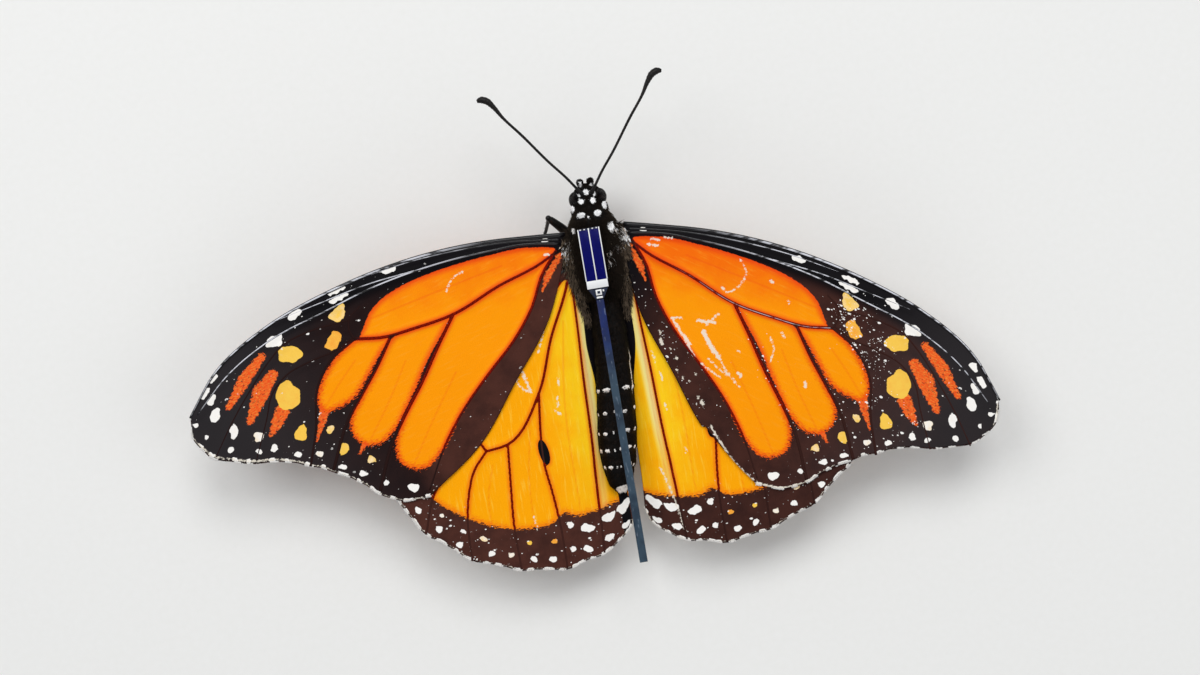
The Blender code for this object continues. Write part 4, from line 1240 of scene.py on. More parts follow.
def hindwing_shades(name, spot, from_costa):
    """The same of the hindwing: painted shade makes it black against the abdomen, and a painted highlight
    makes it palest beside its innermost vein.
    """
    x, y = spot.T
    centre, _, half_width, _ = body_at(y)
    # Painted shade: the wing is black right against the abdomen, as if in its shade, widest at the front.
    body_shade_to = half_width + 0.1 + 0.85 * (1 - ramp(-y, 11, 18))
    line = np.array(HINDWING["veins"]["anal_2"][0])
    inwards = np.interp(-y, -line[:, 1], line[:, 0]) - x
    return {
        # Painted highlight along the fold, just inside the innermost vein, fading towards the rear.
        "fold_highlight": ramp(inwards, 0.1, 0.35) * (1 - ramp(inwards, 0.8, 1.4)) * (1 - 0.7 * ramp(-y, 21, 28)),
        "pouch_and_body_shade": np.maximum(scent_depth(spot), body_shade_to - np.abs(SIDES[name.split("_")[1]] * x - centre)),
        # Painted sheen along the leading edge.
        "painted_sheen": ramp(-from_costa, -2.0, -0.5) * 0.15,
        "tone": ramp(-x, -13, -1.5) * (1 - 0.5 * ramp(-y, 20, 33)) * (1 - 0.5 * ramp(inwards, 1.0, 1.6)),
        "ragged": 0.3 + 1.3 * ramp(-y, 24, 31),
        "pale_below": np.ones(len(spot)),
        "warm": np.full(len(spot), WARMTH[name]),
    }


def wing_marks(name, kind, wing, spot):
    """The markings at each point of a wing, given in its own coordinates, by the name of their attribute."""
    edge, middle = vein_depth(wing, spot)
    depth, tint = nearest_spot(spot, wing["spots"])
    from_rim, t = from_line(spot, wing["termen"], 60)
    on_rim = np.minimum(0.26 - from_rim, rim_dash(wing, t) - 0.1)
    tint = np.where(on_rim > depth, 0.0, tint)
    depth = np.maximum(depth, on_rim)
    field = orange_depth(wing, spot)
    dash = np.full(len(spot), -FAR)
    for x0, y0, x1, y1, start, end in wing["dashes"]:
        gap, t = nearest(spot, np.array([[x0, y0]]), np.array([[x1, y1]]))
        dash = np.maximum(dash, (start + (end - start) * t - gap)[:, 0])
    fold = np.min([from_line(spot, line)[0] for line in wing["folds"]], axis=0)
    worn_and_highlight = 0.12 - from_rim
    for line, half in WORN_AND_HIGHLIGHT_LINES.get(name, []):
        worn_and_highlight = np.maximum(worn_and_highlight, half - from_line(spot, line)[0])
    for x, y, half in BALD_FLECKS if name == "forewing_right" else ():
        worn_and_highlight = np.maximum(worn_and_highlight, in_spot(spot[:, 0] - x, spot[:, 1] - y, half, half / 2, -40))
    shades = forewing_shades if kind == "forewing" else hindwing_shades
    marks = shades(name, spot, from_line(spot, wing["costa"])[0])
    if kind == "hindwing":
        edge = np.minimum(edge, -scent_depth(spot))
    marks.update({"field": field, "vein": edge, "spot": depth, "tint": tint, "fold": fold, "worn_and_highlight": worn_and_highlight})
    marks["dash"] = np.minimum(dash, 0.1)
    # Stray white scales are strewn on the black, most towards the rim, and along the veins over the orange.
    away = ramp(field, -0.1, 0.2) * (1 - 0.7 * ramp(-edge, -0.35, -0.05))
    marks["flecks"] = strewn_share(spot, FLECKS[name]) * (1 - 0.9 * away)
    return marks, middle


def scalloped(spot, middle, share):
    """A wing's own coordinates, cut back towards the root where they lie between the veins."""
    cut = SCALLOP * share * ramp(middle, 0.4, 2.2)
    return spot - unit(spot - np.array(SCALLOP_TOWARDS)) * cut[:, None]


def membrane_lift(spot, middle):
    """The membrane's slight waves and the pleats beside its veins. middle is how far the nearest vein is."""
    wave = 0.06 * np.sin(0.5 * spot[:, 0] + 1.4 * np.sin(0.31 * spot[:, 1]))
    return wave - PLEAT * ramp(middle, 0.12, PLEAT_REACH)


def make_wing(kind, side_name, settings, materials):
    """A wing as one closed shell: a grid folded over its leading and inner edges."""
    wing = WINGS[kind]
    name = f"{kind}_{side_name}"
    mesh, place = grid(f"{name}_membrane", WING_STEPS_OUT[kind], 2 * WING_STEPS_ACROSS)
    w, fold = place.T
    top = fold <= 0.5
    u = np.where(top, 2 * fold, 2 - 2 * fold)
    spot = turned(patch(wing, u, w), WING_TURN[name] * (1 - u))
    drawn = turned(spot, -WING_TURN[name])
    marks, middle = wing_marks(name, kind, wing, drawn)
    if name == "forewing_right":
        # This wing's inner edge is nicked where it was torn.
        along_wing = ramp(drawn[:, 0], *NICK_START) * (1 - ramp(drawn[:, 0], *NICK_END))
        torn = NICK_DEPTH * along_wing * (1 - ramp(u, 0.0, 0.1))
        spot = spot + torn[:, None] * np.array([0.6, 0.8])
    spot = scalloped(spot, middle, ramp(w, 0.97, 1.0) * ramp(u, 0.0, 0.1))
    rim = (np.minimum(u, 1 - u) > 1e-6) & (np.minimum(w, 1 - w) > 1e-6)
    half = settings.thickness / MM / 2 * rim * np.where(top, 1, -1)
    set_points(mesh, placed(kind, side_name, spot, half + membrane_lift(spot, middle)))
    for mark in WING_MARKS:
        attribute(mesh, mark, marks[mark])
    attribute(mesh, "lie", np.column_stack([drawn, np.zeros(len(drawn))]))
    unwrap(mesh, np.column_stack([0.01 + 0.98 * w, 0.01 + 0.98 * fold]))
    corner_fold = fold[corners_of(mesh)].reshape(-1, 4).mean(1)
    mesh.polygons.foreach_set("material_index", (corner_fold > 0.5).astype(np.int32))
    weld(mesh)
    piece(mesh, materials, [name])


def make_veins(kind, side_name, materials):
    """The hollow veins, which stand out above and below the membrane."""
    wing = WINGS[kind]
    wing_name = f"{kind}_{side_name}"
    turn = WING_TURN[wing_name]
    lines = {**wing["veins"], "costa": (wing["costa"], COSTA_HALF_WIDTH[kind], 0.14)}
    bm = bmesh.new()
    bare, warm = (bm.verts.layers.float.new(name) for name in ("bare", "warm"))
    for name, (line, start, end) in lines.items():
        spots = along(line, np.linspace(0, 1, 20))
        spots = spots if name == "costa" else turned(spots, turn)
        centre = placed(kind, side_name, spots, membrane_lift(spots, 0.0))
        rows = np.column_stack([centre, np.linspace(start, end * 0.85, 20)])
        # The glossy leading veins, and those listed, carry the painted highlight on their ridges.
        glossy = name in GLOSSY_VEINS
        for vert in add_tube(bm, rows, 64, 8, flat=0.75):
            vert[bare] = HIGHLIT_VEINS.get(f"{side_name}_{name}", glossy)
            vert[warm] = 0.0 if glossy else WARMTH[wing_name]
            for face in vert.link_faces:
                face.material_index = glossy
    mesh = mesh_of(f"{wing_name}_veins", bm)
    spots = turned(own_place(kind, side_name, points_of(mesh) / MM - THORAX_AT), -turn)
    field = orange_depth(wing, spots)
    if kind == "hindwing":
        field = np.where(scent_depth(spots) > -0.05, -1.0, field)
    attribute(mesh, "field", field)
    # Where along the wing that painted highlight lies: from near the root outwards, weaker at the tip.
    attribute(mesh, "shine", ramp(spots[:, 0], 6, 20) * (1 - 0.6 * ramp(spots[:, 0], 44, 50)))
    piece(mesh, materials)


def make_fringe(kind, side_name, settings, material, seed):
    """The fringe of hair scales along the rim, white between the ends of the veins."""
    wing = WINGS[kind]
    turn = WING_TURN[f"{kind}_{side_name}"]
    rng = np.random.default_rng(seed)
    rim = along(wing["termen"], np.linspace(0, 1, 400))
    count = int(np.linalg.norm(np.diff(rim, axis=0), axis=1).sum() / FRINGE_PITCH)
    t = (np.arange(count) + rng.uniform(-0.4, 0.4, count)) / count
    t = np.clip(t, 0.001, 0.999)
    spots = turned(along(wing["termen"], t), turn * (1 - t))
    before, after = (along(wing["termen"], np.clip(t + step, 0, 1)) for step in (-0.002, 0.002))
    ahead = unit(after - before)
    outward = np.column_stack([ahead[:, 1], -ahead[:, 0]])
    outward = outward + rng.normal(0, 0.07, outward.shape)
    middle = vein_depth(wing, turned(spots, -turn))[1]
    spots = scalloped(spots, middle, 1.0) - outward * 0.12
    lift = membrane_lift(spots, middle)
    root = placed(kind, side_name, spots, lift)
    grow = unit(placed(kind, side_name, spots + outward * 0.3, lift) - root)
    side = unit(np.cross(grow, np.array([0.0, 0.0, 1.0])))
    white = (rim_dash(wing, t) > 0) & (rng.random(count) > 0.03)
    size = settings.fringe / MM * rng.uniform(0.85, 1.1, count) * np.where(white, 1.1, 0.7)
    shape = spike(cuts=(0.55,))
    width = np.full(count, 0.17)
    down = np.tile([0.0, 0.0, -1.0], (count, 1))
    mesh = joined(f"{kind}_{side_name}_fringe", shape, root, grow, side, size, width, 0.06, down)
    each = len(shape[0])
    attribute(mesh, "white", np.repeat(white.astype(float), each))
    attribute(mesh, "shade", np.repeat(rng.random(count), each))
    piece(mesh, [material])


def make_wings(kind, seed):
    settings = bpy.context.scene.butterfly_wings
    faces = {"above": False, "below": True}
    membrane = [
        wing_finish(f"{kind}_scales_{face}", settings, WINGS[kind], under) for face, under in faces.items()
    ]
    veins = [kept(name, vein_finish, settings, *levels) for name, levels in VEIN_LEVELS.items()]
    fringe = kept("fringe_scales", fringe_finish, settings)
    for side_name in SIDES:
        make_wing(kind, side_name, settings, membrane)
        make_veins(kind, side_name, veins)
        make_fringe(kind, side_name, settings, fringe, seed)


class BUTTERFLY_OT_forewings(bpy.types.Operator):
    """Build both forewings with their veins and fringes"""

    bl_idname = "butterfly.forewings"
    bl_label = "Forewings"

    def execute(self, context):
        make_wings("forewing", 11)
        return {"FINISHED"}


class BUTTERFLY_OT_hindwings(bpy.types.Operator):
    """Build both hindwings with their veins and fringes"""

    bl_idname = "butterfly.hindwings"
    bl_label = "Hindwings"

    def execute(self, context):
        make_wings("hindwing", 12)
        return {"FINISHED"}


# ------------------------------------------------------------------ skin and coat


def coat_depth(y):
    return read(COAT_DEPTH[:, 0], COAT_DEPTH[:, 1], y)


def ring_swell(y):
    """How far the abdomen's rings stand out: each is widest just before its rear edge."""
    edges = np.array(RING_EDGES[::-1])
    i = np.clip(np.searchsorted(edges, y), 1, len(edges) - 1)
    t = np.clip((edges[i] - y) / (edges[i] - edges[i - 1]), 0, 1)
    swell = 0.16 * t**1.5 * (1 - ramp(t, 0.9, 1.0))
    return np.where((y < edges[-1] + 0.8) & (y > edges[0]), swell, 0.0)


def on_body(y, turn, lift=0.0):
    """Points of the skin at y and at an angle, in radians, from the top round to the right."""
    centre_x, centre_z, half_width, half_height = body_at(y)
    swell = ring_swell(y) - coat_depth(y) + lift
    power = 2 / BODY_SQUARENESS
    sin, cos = np.sin(turn), np.cos(turn)
    x = (half_width + swell) * np.sign(sin) * np.abs(sin) ** power
    z = (half_height + swell) * np.sign(cos) * np.abs(cos) ** power
    return np.column_stack([centre_x + x, y, centre_z + z])


def angle_on_body(points):
    """Each point's angle from the top round to the right, and the body's mean radius there."""
    centre_x, centre_z, half_width, half_height = body_at(points[:, 1])
    turn = np.arctan2((points[:, 0] - centre_x) / half_width, (points[:, 2] - centre_z) / half_height)
    return turn, (half_width + half_height) / 2


def body_marks(points):
    """How deep each point lies in the nearest pale patch, and that patch's tint."""
    turn, radius = angle_on_body(points)
    spots = list(BODY_SPOTS)
    for y, degrees, half_length, half_width, tint in BODY_SPOTS_MIRRORED:
        spots += [(y, degrees, half_length, half_width, tint), (y, -degrees, half_length, half_width, tint)]
    for y in ABDOMEN_ROWS:
        size = 1.0 if y > -26 else 0.8
        for degrees, half in ABDOMEN_ROW_SPOTS:
            uneven = math.sin(3.1 * y + degrees)
            half_width = half * size * (0.85 + 0.3 * uneven)
            spots.append((y + 0.14 * uneven, degrees + 5 * uneven, 0.19 * size, half_width, 0.15))
    pale = np.full(len(points), -FAR)
    tint = np.zeros(len(points))
    for y, degrees, half_length, half_width, spot_tint in spots:
        across = (turn - math.radians(degrees) + math.pi) % (2 * math.pi) - math.pi
        here = in_spot(points[:, 1] - y, across * radius, half_length, half_width)
        tint = np.where(here > pale, spot_tint, tint)
        pale = np.maximum(pale, here)
    for x, y, half_width, half_length, spot_tint in TOP_SPOTS:
        here = in_spot(points[:, 0] - x, points[:, 1] - y, half_width, half_length)
        nearer = (here > pale) & (points[:, 2] > 7.4)
        tint = np.where(nearer, spot_tint, tint)
        pale = np.where(nearer, here, pale)
    return pale, tint


def body_map(points):
    """The place of each point on an unwrap of the body: round it, and along it."""
    turn = angle_on_body(points)[0]
    along_body = (points[:, 1] - BODY[0, 0] + 0.5) / (BODY[-1, 0] - BODY[0, 0] + 2.0)
    return np.column_stack([(turn / (2 * math.pi) + 0.5) / 1.06 + 0.004, np.clip(along_body, 0.003, 0.997)])


def add_body_core(bm):
    """The trunk of the body, as a grid wrapped round its cross-sections."""
    made = bmesh.ops.create_grid(bm, x_segments=300, y_segments=80, size=0.5)["verts"]
    place = np.array([vert.co[:2] for vert in made]) + 0.5
    y = BODY[0, 0] + 0.1 + (BODY[-1, 0] - BODY[0, 0] - 0.2) * place[:, 0]
    for vert, co in zip(made, on_body(y, 2 * math.pi * place[:, 1])):
        vert.co = co
    seal(bm, made)


def mirrored(rows, side):
    """Rows of a limb that start with x outwards, for one side."""
    return [(side * x, *others) for x, *others in rows]


def turn_about(degrees, axis):
    return Matrix.Rotation(math.radians(degrees), 4, axis)


def add_body_details(bm):
    """The lobes that the wings, legs, feelers and claspers stand on, and the palps."""
    for side in SIDES.values():
        for x, y, z, *radii, lean in SIDE_LOBES:
            add_ball(bm, (side * x, y, z), radii, turn=turn_about(side * lean, "Y"))
        add_tube(bm, mirrored(PALP, side), 24, 14, up=(1.0, 0.0, 0.0))
        # The male's claspers: two scoops at the abdomen's tip.
        add_ball(bm, (-1.78 + side * 0.42, -30.2, 6.9), (0.26, 0.75, 0.62), turn=turn_about(side * -12, "Z"))
    for centre, radii in MIDDLE_LOBES:
        add_ball(bm, centre, radii)


def remeshed(name, bm, voxel):
    """Fuse overlapping solids drawn in millimetres into one even skin."""
    bmesh.ops.recalc_face_normals(bm, faces=bm.faces)
    mesh = mesh_from(name, bm)
    guide = bpy.data.objects.new(name, mesh)
    bpy.context.scene.collection.objects.link(guide)
    fuse = guide.modifiers.new("fuse", "REMESH")
    fuse.mode = "VOXEL"
    fuse.voxel_size = voxel
    even = guide.modifiers.new("even", "SMOOTH")
    even.factor = 0.5
    even.iterations = 3
    graph = bpy.context.evaluated_depsgraph_get()
    fused = bpy.data.meshes.new_from_object(guide.evaluated_get(graph))
    bpy.data.objects.remove(guide, do_unlink=True)
    bpy.data.meshes.remove(mesh)
    fused.name = name
    return fused


def sampled(points, faces, count, weight, rng):
    """Roots spread over triangles by area and weight, with their face's way out."""
    a, b, c = (points[faces[:, i]] for i in range(3))
    cross = np.cross(b - a, c - a)
    area = np.linalg.norm(cross, axis=1)
    share = area * weight((a + b + c) / 3, unit(cross))
    chosen = rng.choice(len(faces), count, p=share / share.sum())
    r, s = np.sqrt(rng.random((count, 1))), rng.random((count, 1))
    root = a[chosen] * (1 - r) + b[chosen] * (r * (1 - s)) + c[chosen] * (r * s)
    return root, unit(cross[chosen])


def make_coat(name, root, normal, lie, look, rng, shape):
    """One piece of the coat. look gives each tuft's length, width, lean, bend, depth and grey tip."""
    count = len(root)
    lie = lie + rng.normal(0, look["stray"], lie.shape)
    lie = unit(lie - normal * (lie * normal).sum(1)[:, None])
    pale, tint = body_marks(root)
    # Pale tufts are strewn among the dark ones of the upper side.
    strewn = rng.random(count) < np.where(root[:, 2] > 8.0, strewn_share(root, PALE_TUFTS), 0.0)
    tint = np.where(strewn, rng.random(count) ** 3, tint)
    pale = np.where(strewn, 0.2, pale)
    white = pale > 0.0
    beside = (pale > -0.3) & ~white
    lean = np.radians(np.where(white, 80.0, look["lean"]) + rng.normal(0, 5.0, count))[:, None]
    grow = normal * np.cos(lean) + lie * np.sin(lean)
    side = unit(np.cross(grow, normal) + rng.normal(0, 0.05, grow.shape))
    size = rng.uniform(0.7, 1.2, count) * np.where(white, 0.24, look["length"] * np.where(beside, 0.35, 1.0))
    width = look["width"] * rng.uniform(0.8, 1.2, count) * np.where(white, 2.3, 1.0)
    size = np.where(strewn, 0.5, size)
    width = np.where(strewn, 0.3, width)
    start = root - normal * 0.05
    mesh = joined(name, shape, start, grow, side, size, width, look["bend"], lie, look["depth"])
    points, corners = shape[0], len(shape[0])
    attribute(mesh, "pale", np.repeat(pale, corners))
    attribute(mesh, "tint", np.repeat(tint, corners))
    attribute(mesh, "shade", np.repeat(rng.random(count), corners))
    attribute(mesh, "grey", np.repeat(look["grey"] * np.ones(count), corners))
    attribute(mesh, "tip", np.tile(points[:, 2], count))
    # Each tuft takes a patch of its own on the body's unwrap, at its root.
    offset = np.column_stack([points[:, 0] + 0.5 * points[:, 1], points[:, 2] + 0.5 * points[:, 1]]) * 0.003
    unwrap(mesh, (body_map(root)[:, None] + offset[None]).reshape(-1, 2))
    piece(mesh, [kept("butterfly_hair", hair_finish, bpy.context.scene.butterfly_body)])


def skin_arrays():
    """The skin's points in millimetres and its triangles."""
    mesh = bpy.data.objects["skin"].data
    points = points_of(mesh) / MM - THORAX_AT
    mesh.calc_loop_triangles()
    faces = np.empty(len(mesh.loop_triangles) * 3, np.int32)
    mesh.loop_triangles.foreach_get("vertices", faces)
    return points, faces.reshape(-1, 3)


class BUTTERFLY_OT_skin(bpy.types.Operator):
    """Build the one skin of head, palps, thorax and abdomen"""

    bl_idname = "butterfly.skin"
    bl_label = "Skin"

    def execute(self, context):
        settings = context.scene.butterfly_body
        bm = bmesh.new()
        add_body_core(bm)
        add_body_details(bm)
        mesh = remeshed("skin", bm, settings.voxel / MM)
        points = points_of(mesh)
        pale, tint = body_marks(points)
        attribute(mesh, "pale", pale)
        attribute(mesh, "tint", tint)
        corners = corners_of(mesh)
        around = body_map(points)[corners]
        starts = np.empty(len(mesh.polygons), np.int32)
        mesh.polygons.foreach_get("loop_start", starts)
        # A face across the seam keeps together past the map's right edge.
        spread = np.maximum.reduceat(around[:, 0], starts) - np.minimum.reduceat(around[:, 0], starts)
        sizes = np.diff(np.append(starts, len(corners)))
        crosses = np.repeat(spread > 0.5, sizes) & (around[:, 0] < 0.5)
        around[:, 0] += crosses / 1.06
        unwrap(mesh, np.clip(around, 0.001, 0.999))
        set_points(mesh, in_frame(points))
        nodes = ["abdomen", "thorax", "head", "palp_left", "palp_right"]
        piece(mesh, [skin_finish(settings)], nodes)
        return {"FINISHED"}


class BUTTERFLY_OT_coat(bpy.types.Operator):
    """Build the coat of hair and scales, in tufts that follow its lie"""

    bl_idname = "butterfly.coat"
    bl_label = "Coat"

    def execute(self, context):
        settings = context.scene.butterfly_body
        rng = np.random.default_rng(5)
        points, faces = skin_arrays()
        tall = spike(cuts=(0.4,))
        short = spike(cuts=())

        def clear(where):
            """0 under the tag's board and on the eyes, and 1 elsewhere."""
            x, y, z = where.T
            under_tag = (np.abs(x - TAG_X) < 1.2) & (z > 9.6) & (y < 2.3) & (y > TAG_FRONT_Y - 7)
            eye = (np.abs(x) > 1.18) & (np.abs(y - EYE_CENTRE[1]) < 1.0) & (np.abs(z - EYE_CENTRE[2]) < 1.3)
            return np.where(eye | under_tag, 0.0, 1.0)

        def on_thorax(where, normal):
            return clear(where) * ramp(where[:, 1], -5.5, -5.0) * (1 - ramp(where[:, 1], 5.3, 5.7))

        def on_abdomen(where, normal):
            return (1 - ramp(where[:, 1], -5.6, -5.1)) * (0.6 + 0.4 * ramp(normal[:, 2], -1, 0))

        def on_head(where, normal):
            return clear(where) * ramp(where[:, 1], 5.3, 5.7)

        root, normal = sampled(points, faces, settings.thorax_hairs, on_thorax, rng)
        turn, _ = angle_on_body(root)
        # The thorax's hair lies back and outwards, longest at the flanks and over the waist.
        lie = np.column_stack([0.55 * np.sin(turn), -np.ones(len(root)), -0.25 * np.abs(np.sin(turn))])
        flank = np.abs(np.sin(turn))
        at_waist, at_neck = 1 - ramp(root[:, 1], -4.5, -2.5), ramp(root[:, 1], 3.0, 4.5)
        look = {"width": 0.085, "lean": 58, "bend": 0.25, "depth": 0.6, "stray": 0.28}
        look["length"] = 0.55 + 0.3 * flank + 0.35 * at_waist - 0.2 * at_neck
        look["grey"] = 0.04 + 0.2 * flank**4
        order = np.argsort(root[:, 0])
        halves = {"left": order[: len(order) // 2], "right": order[len(order) // 2 :]}
        for side_name, part in halves.items():
            here = {key: value[part] if np.ndim(value) else value for key, value in look.items()}
            make_coat(f"coat_thorax_{side_name}", root[part], normal[part], lie[part], here, rng, tall)

        root, normal = sampled(points, faces, settings.abdomen_hairs, on_abdomen, rng)
        lie = np.tile([0.0, -1.0, 0.0], (len(root), 1))
        tip = 1 - ramp(root[:, 1], -30.2, -28.8)
        look = {"width": 0.13, "lean": 72, "bend": 0.08, "depth": 0.4, "stray": 0.14, "grey": 0.04}
        look["length"] = 0.3 + 0.25 * tip + 0.3 * ramp(root[:, 1], -7.5, -5.5)
        make_coat("coat_abdomen", root, normal, lie, look, rng, short)

        root, normal = sampled(points, faces, settings.head_hairs, on_head, rng)
        lie = np.column_stack([0.3 * root[:, 0], 0.5 * np.ones(len(root)), 0.4 * np.ones(len(root))])
        look = {"width": 0.075, "lean": 48, "bend": 0.2, "depth": 0.6, "stray": 0.35, "grey": 0.03}
        look["length"] = 0.34 - 0.1 * ramp(root[:, 1], 6.5, 8.5)
        make_coat("coat_head", root, normal, lie, look, rng, tall)
        for side_name, side in SIDES.items():
            self.wing_root_hair(side_name, side, rng, tall)
        return {"FINISHED"}

    def wing_root_hair(self, side_name, side, rng, shape):
        """Long soft hair over the hindwing's root and along its fold beside the abdomen."""
        count = 6400
        y = -8.5 * rng.beta(1.1, 1.6, count) - 0.2
        reach = np.interp(y, [-9, -5, 0], [0.5, 1.2, 1.8])
        x = side * (np.interp(y, [-9, -6, 0], [2.0, 2.3, 2.9]) + reach * rng.beta(1.0, 1.7, count))
        root = np.column_stack([x, y, wing_z("hindwing", x, y) + 0.02])
        fore = rng.random(count) < 0.3
        fore_y = rng.uniform(-1.4, 2.2, count)
        fore_x = side * (3.0 + 1.3 * rng.beta(1.0, 2.0, count))
        over = np.column_stack([fore_x, fore_y, wing_z("forewing", fore_x, fore_y) + 0.02])
        root = np.where(fore[:, None], over, root)
        normal = np.tile([0.0, 0.0, 1.0], (count, 1))
        lie = np.column_stack([np.full(count, side * 0.3), -np.ones(count), np.zeros(count)])
        look = {"width": 0.06, "lean": 78, "bend": 0.05, "depth": 0.6, "stray": 0.3}
        look["length"] = 0.7 + 0.6 * rng.random(count) * ~fore
        look["grey"] = 1.0 * (rng.random(count) < 0.45)
        make_coat(f"coat_wing_root_{side_name}", root, normal, lie, look, rng, shape)


# ------------------------------------------------------------------ eyes, feelers, mouthparts and legs


class BUTTERFLY_OT_eyes(bpy.types.Operator):
    """Build the compound eyes, each facet a small dome"""

    bl_idname = "butterfly.eyes"
    bl_label = "Eyes"

    def execute(self, context):
        settings = context.scene.butterfly_body
        # Eye horn: glassy and black-brown over a duller depth.
        material = chitin("eye_cornea", settings.eye_black, settings.eye_brown, 0.25, 2.5, 0.08)
        for side_name, side in SIDES.items():
            bm = bmesh.new()
            bmesh.ops.create_icosphere(bm, subdivisions=5, radius=1.0)
            for vert in bmesh.ops.poke(bm, faces=bm.faces)["verts"]:
                vert.co *= 0.985
            everything = bm.verts[:] + bm.edges[:] + bm.faces[:]
            # The eye is a little more than half an ellipsoid, flat against the head.
            cut = {"plane_co": (side * -0.25, 0, 0), "plane_no": (side, 0, 0), "clear_inner": True}
            bmesh.ops.bisect_plane(bm, geom=everything, **cut)
            bmesh.ops.holes_fill(bm, edges=bm.edges, sides=0)
            bmesh.ops.scale(bm, vec=EYE_RADII, verts=bm.verts)
            bmesh.ops.translate(bm, vec=(side * EYE_CENTRE[0], *EYE_CENTRE[1:]), verts=bm.verts)
            piece(mesh_of(f"eye_{side_name}_facets", bm), [material], [f"eye_{side_name}"], 50)
        return {"FINISHED"}


class BUTTERFLY_OT_feelers(bpy.types.Operator):
    """Build the ringed and clubbed feelers"""

    bl_idname = "butterfly.feelers"
    bl_label = "Feelers"

    def execute(self, context):
        settings = context.scene.butterfly_body
        material = chitin("feeler_horn", settings.leg_black, settings.leg_brown, 0.45, 4.0)

        def ringed(t):
            return 1.0 + 0.1 * np.abs(np.sin(math.pi * FEELER_RINGS * t)) ** 0.5 - 0.05

        for side_name, side in SIDES.items():
            bm = bmesh.new()
            add_tube(bm, mirrored(FEELER, side), FEELER_RINGS * 5, 12, profile=ringed)
            add_ball(bm, (side * 0.65, 7.32, 8.95), (0.3, 0.3, 0.22), 16)
            nodes = [f"feeler_{side_name}"]
            piece(mesh_of(f"feeler_{side_name}_rings", bm), [material], nodes, 40)
        return {"FINISHED"}


class BUTTERFLY_OT_mouthparts(bpy.types.Operator):
    """Build the wound-up tongue, two half tubes side by side"""

    bl_idname = "butterfly.mouthparts"
    bl_label = "Mouthparts"

    def execute(self, context):
        settings = context.scene.butterfly_body
        material = chitin("tongue_horn", settings.leg_black, settings.leg_brown, 0.35, 5.0)
        outer, inner = PROBOSCIS_RADII
        t = np.linspace(0, 1, 30)
        turn = math.radians(70) + 2 * math.pi * PROBOSCIS_TURNS * t
        radius = outer + (inner - outer) * t
        bm = bmesh.new()

        def ringed(t):
            return 1.0 + 0.05 * np.sin(2 * math.pi * TONGUE_RINGS * t)

        for side in SIDES.values():
            x = np.full(30, PROBOSCIS_CENTRE[0] + side * 0.09)
            y = PROBOSCIS_CENTRE[1] + radius * np.cos(turn)
            z = PROBOSCIS_CENTRE[2] + radius * np.sin(turn)
            rows = np.column_stack([x, y, z, np.linspace(0.17, 0.1, 30)])
            add_tube(bm, rows, TONGUE_RINGS * 4, 10, profile=ringed, up=(1.0, 0.0, 0.0))
        piece(mesh_of("proboscis_coil", bm), [material], ["proboscis"], 40)
        return {"FINISHED"}


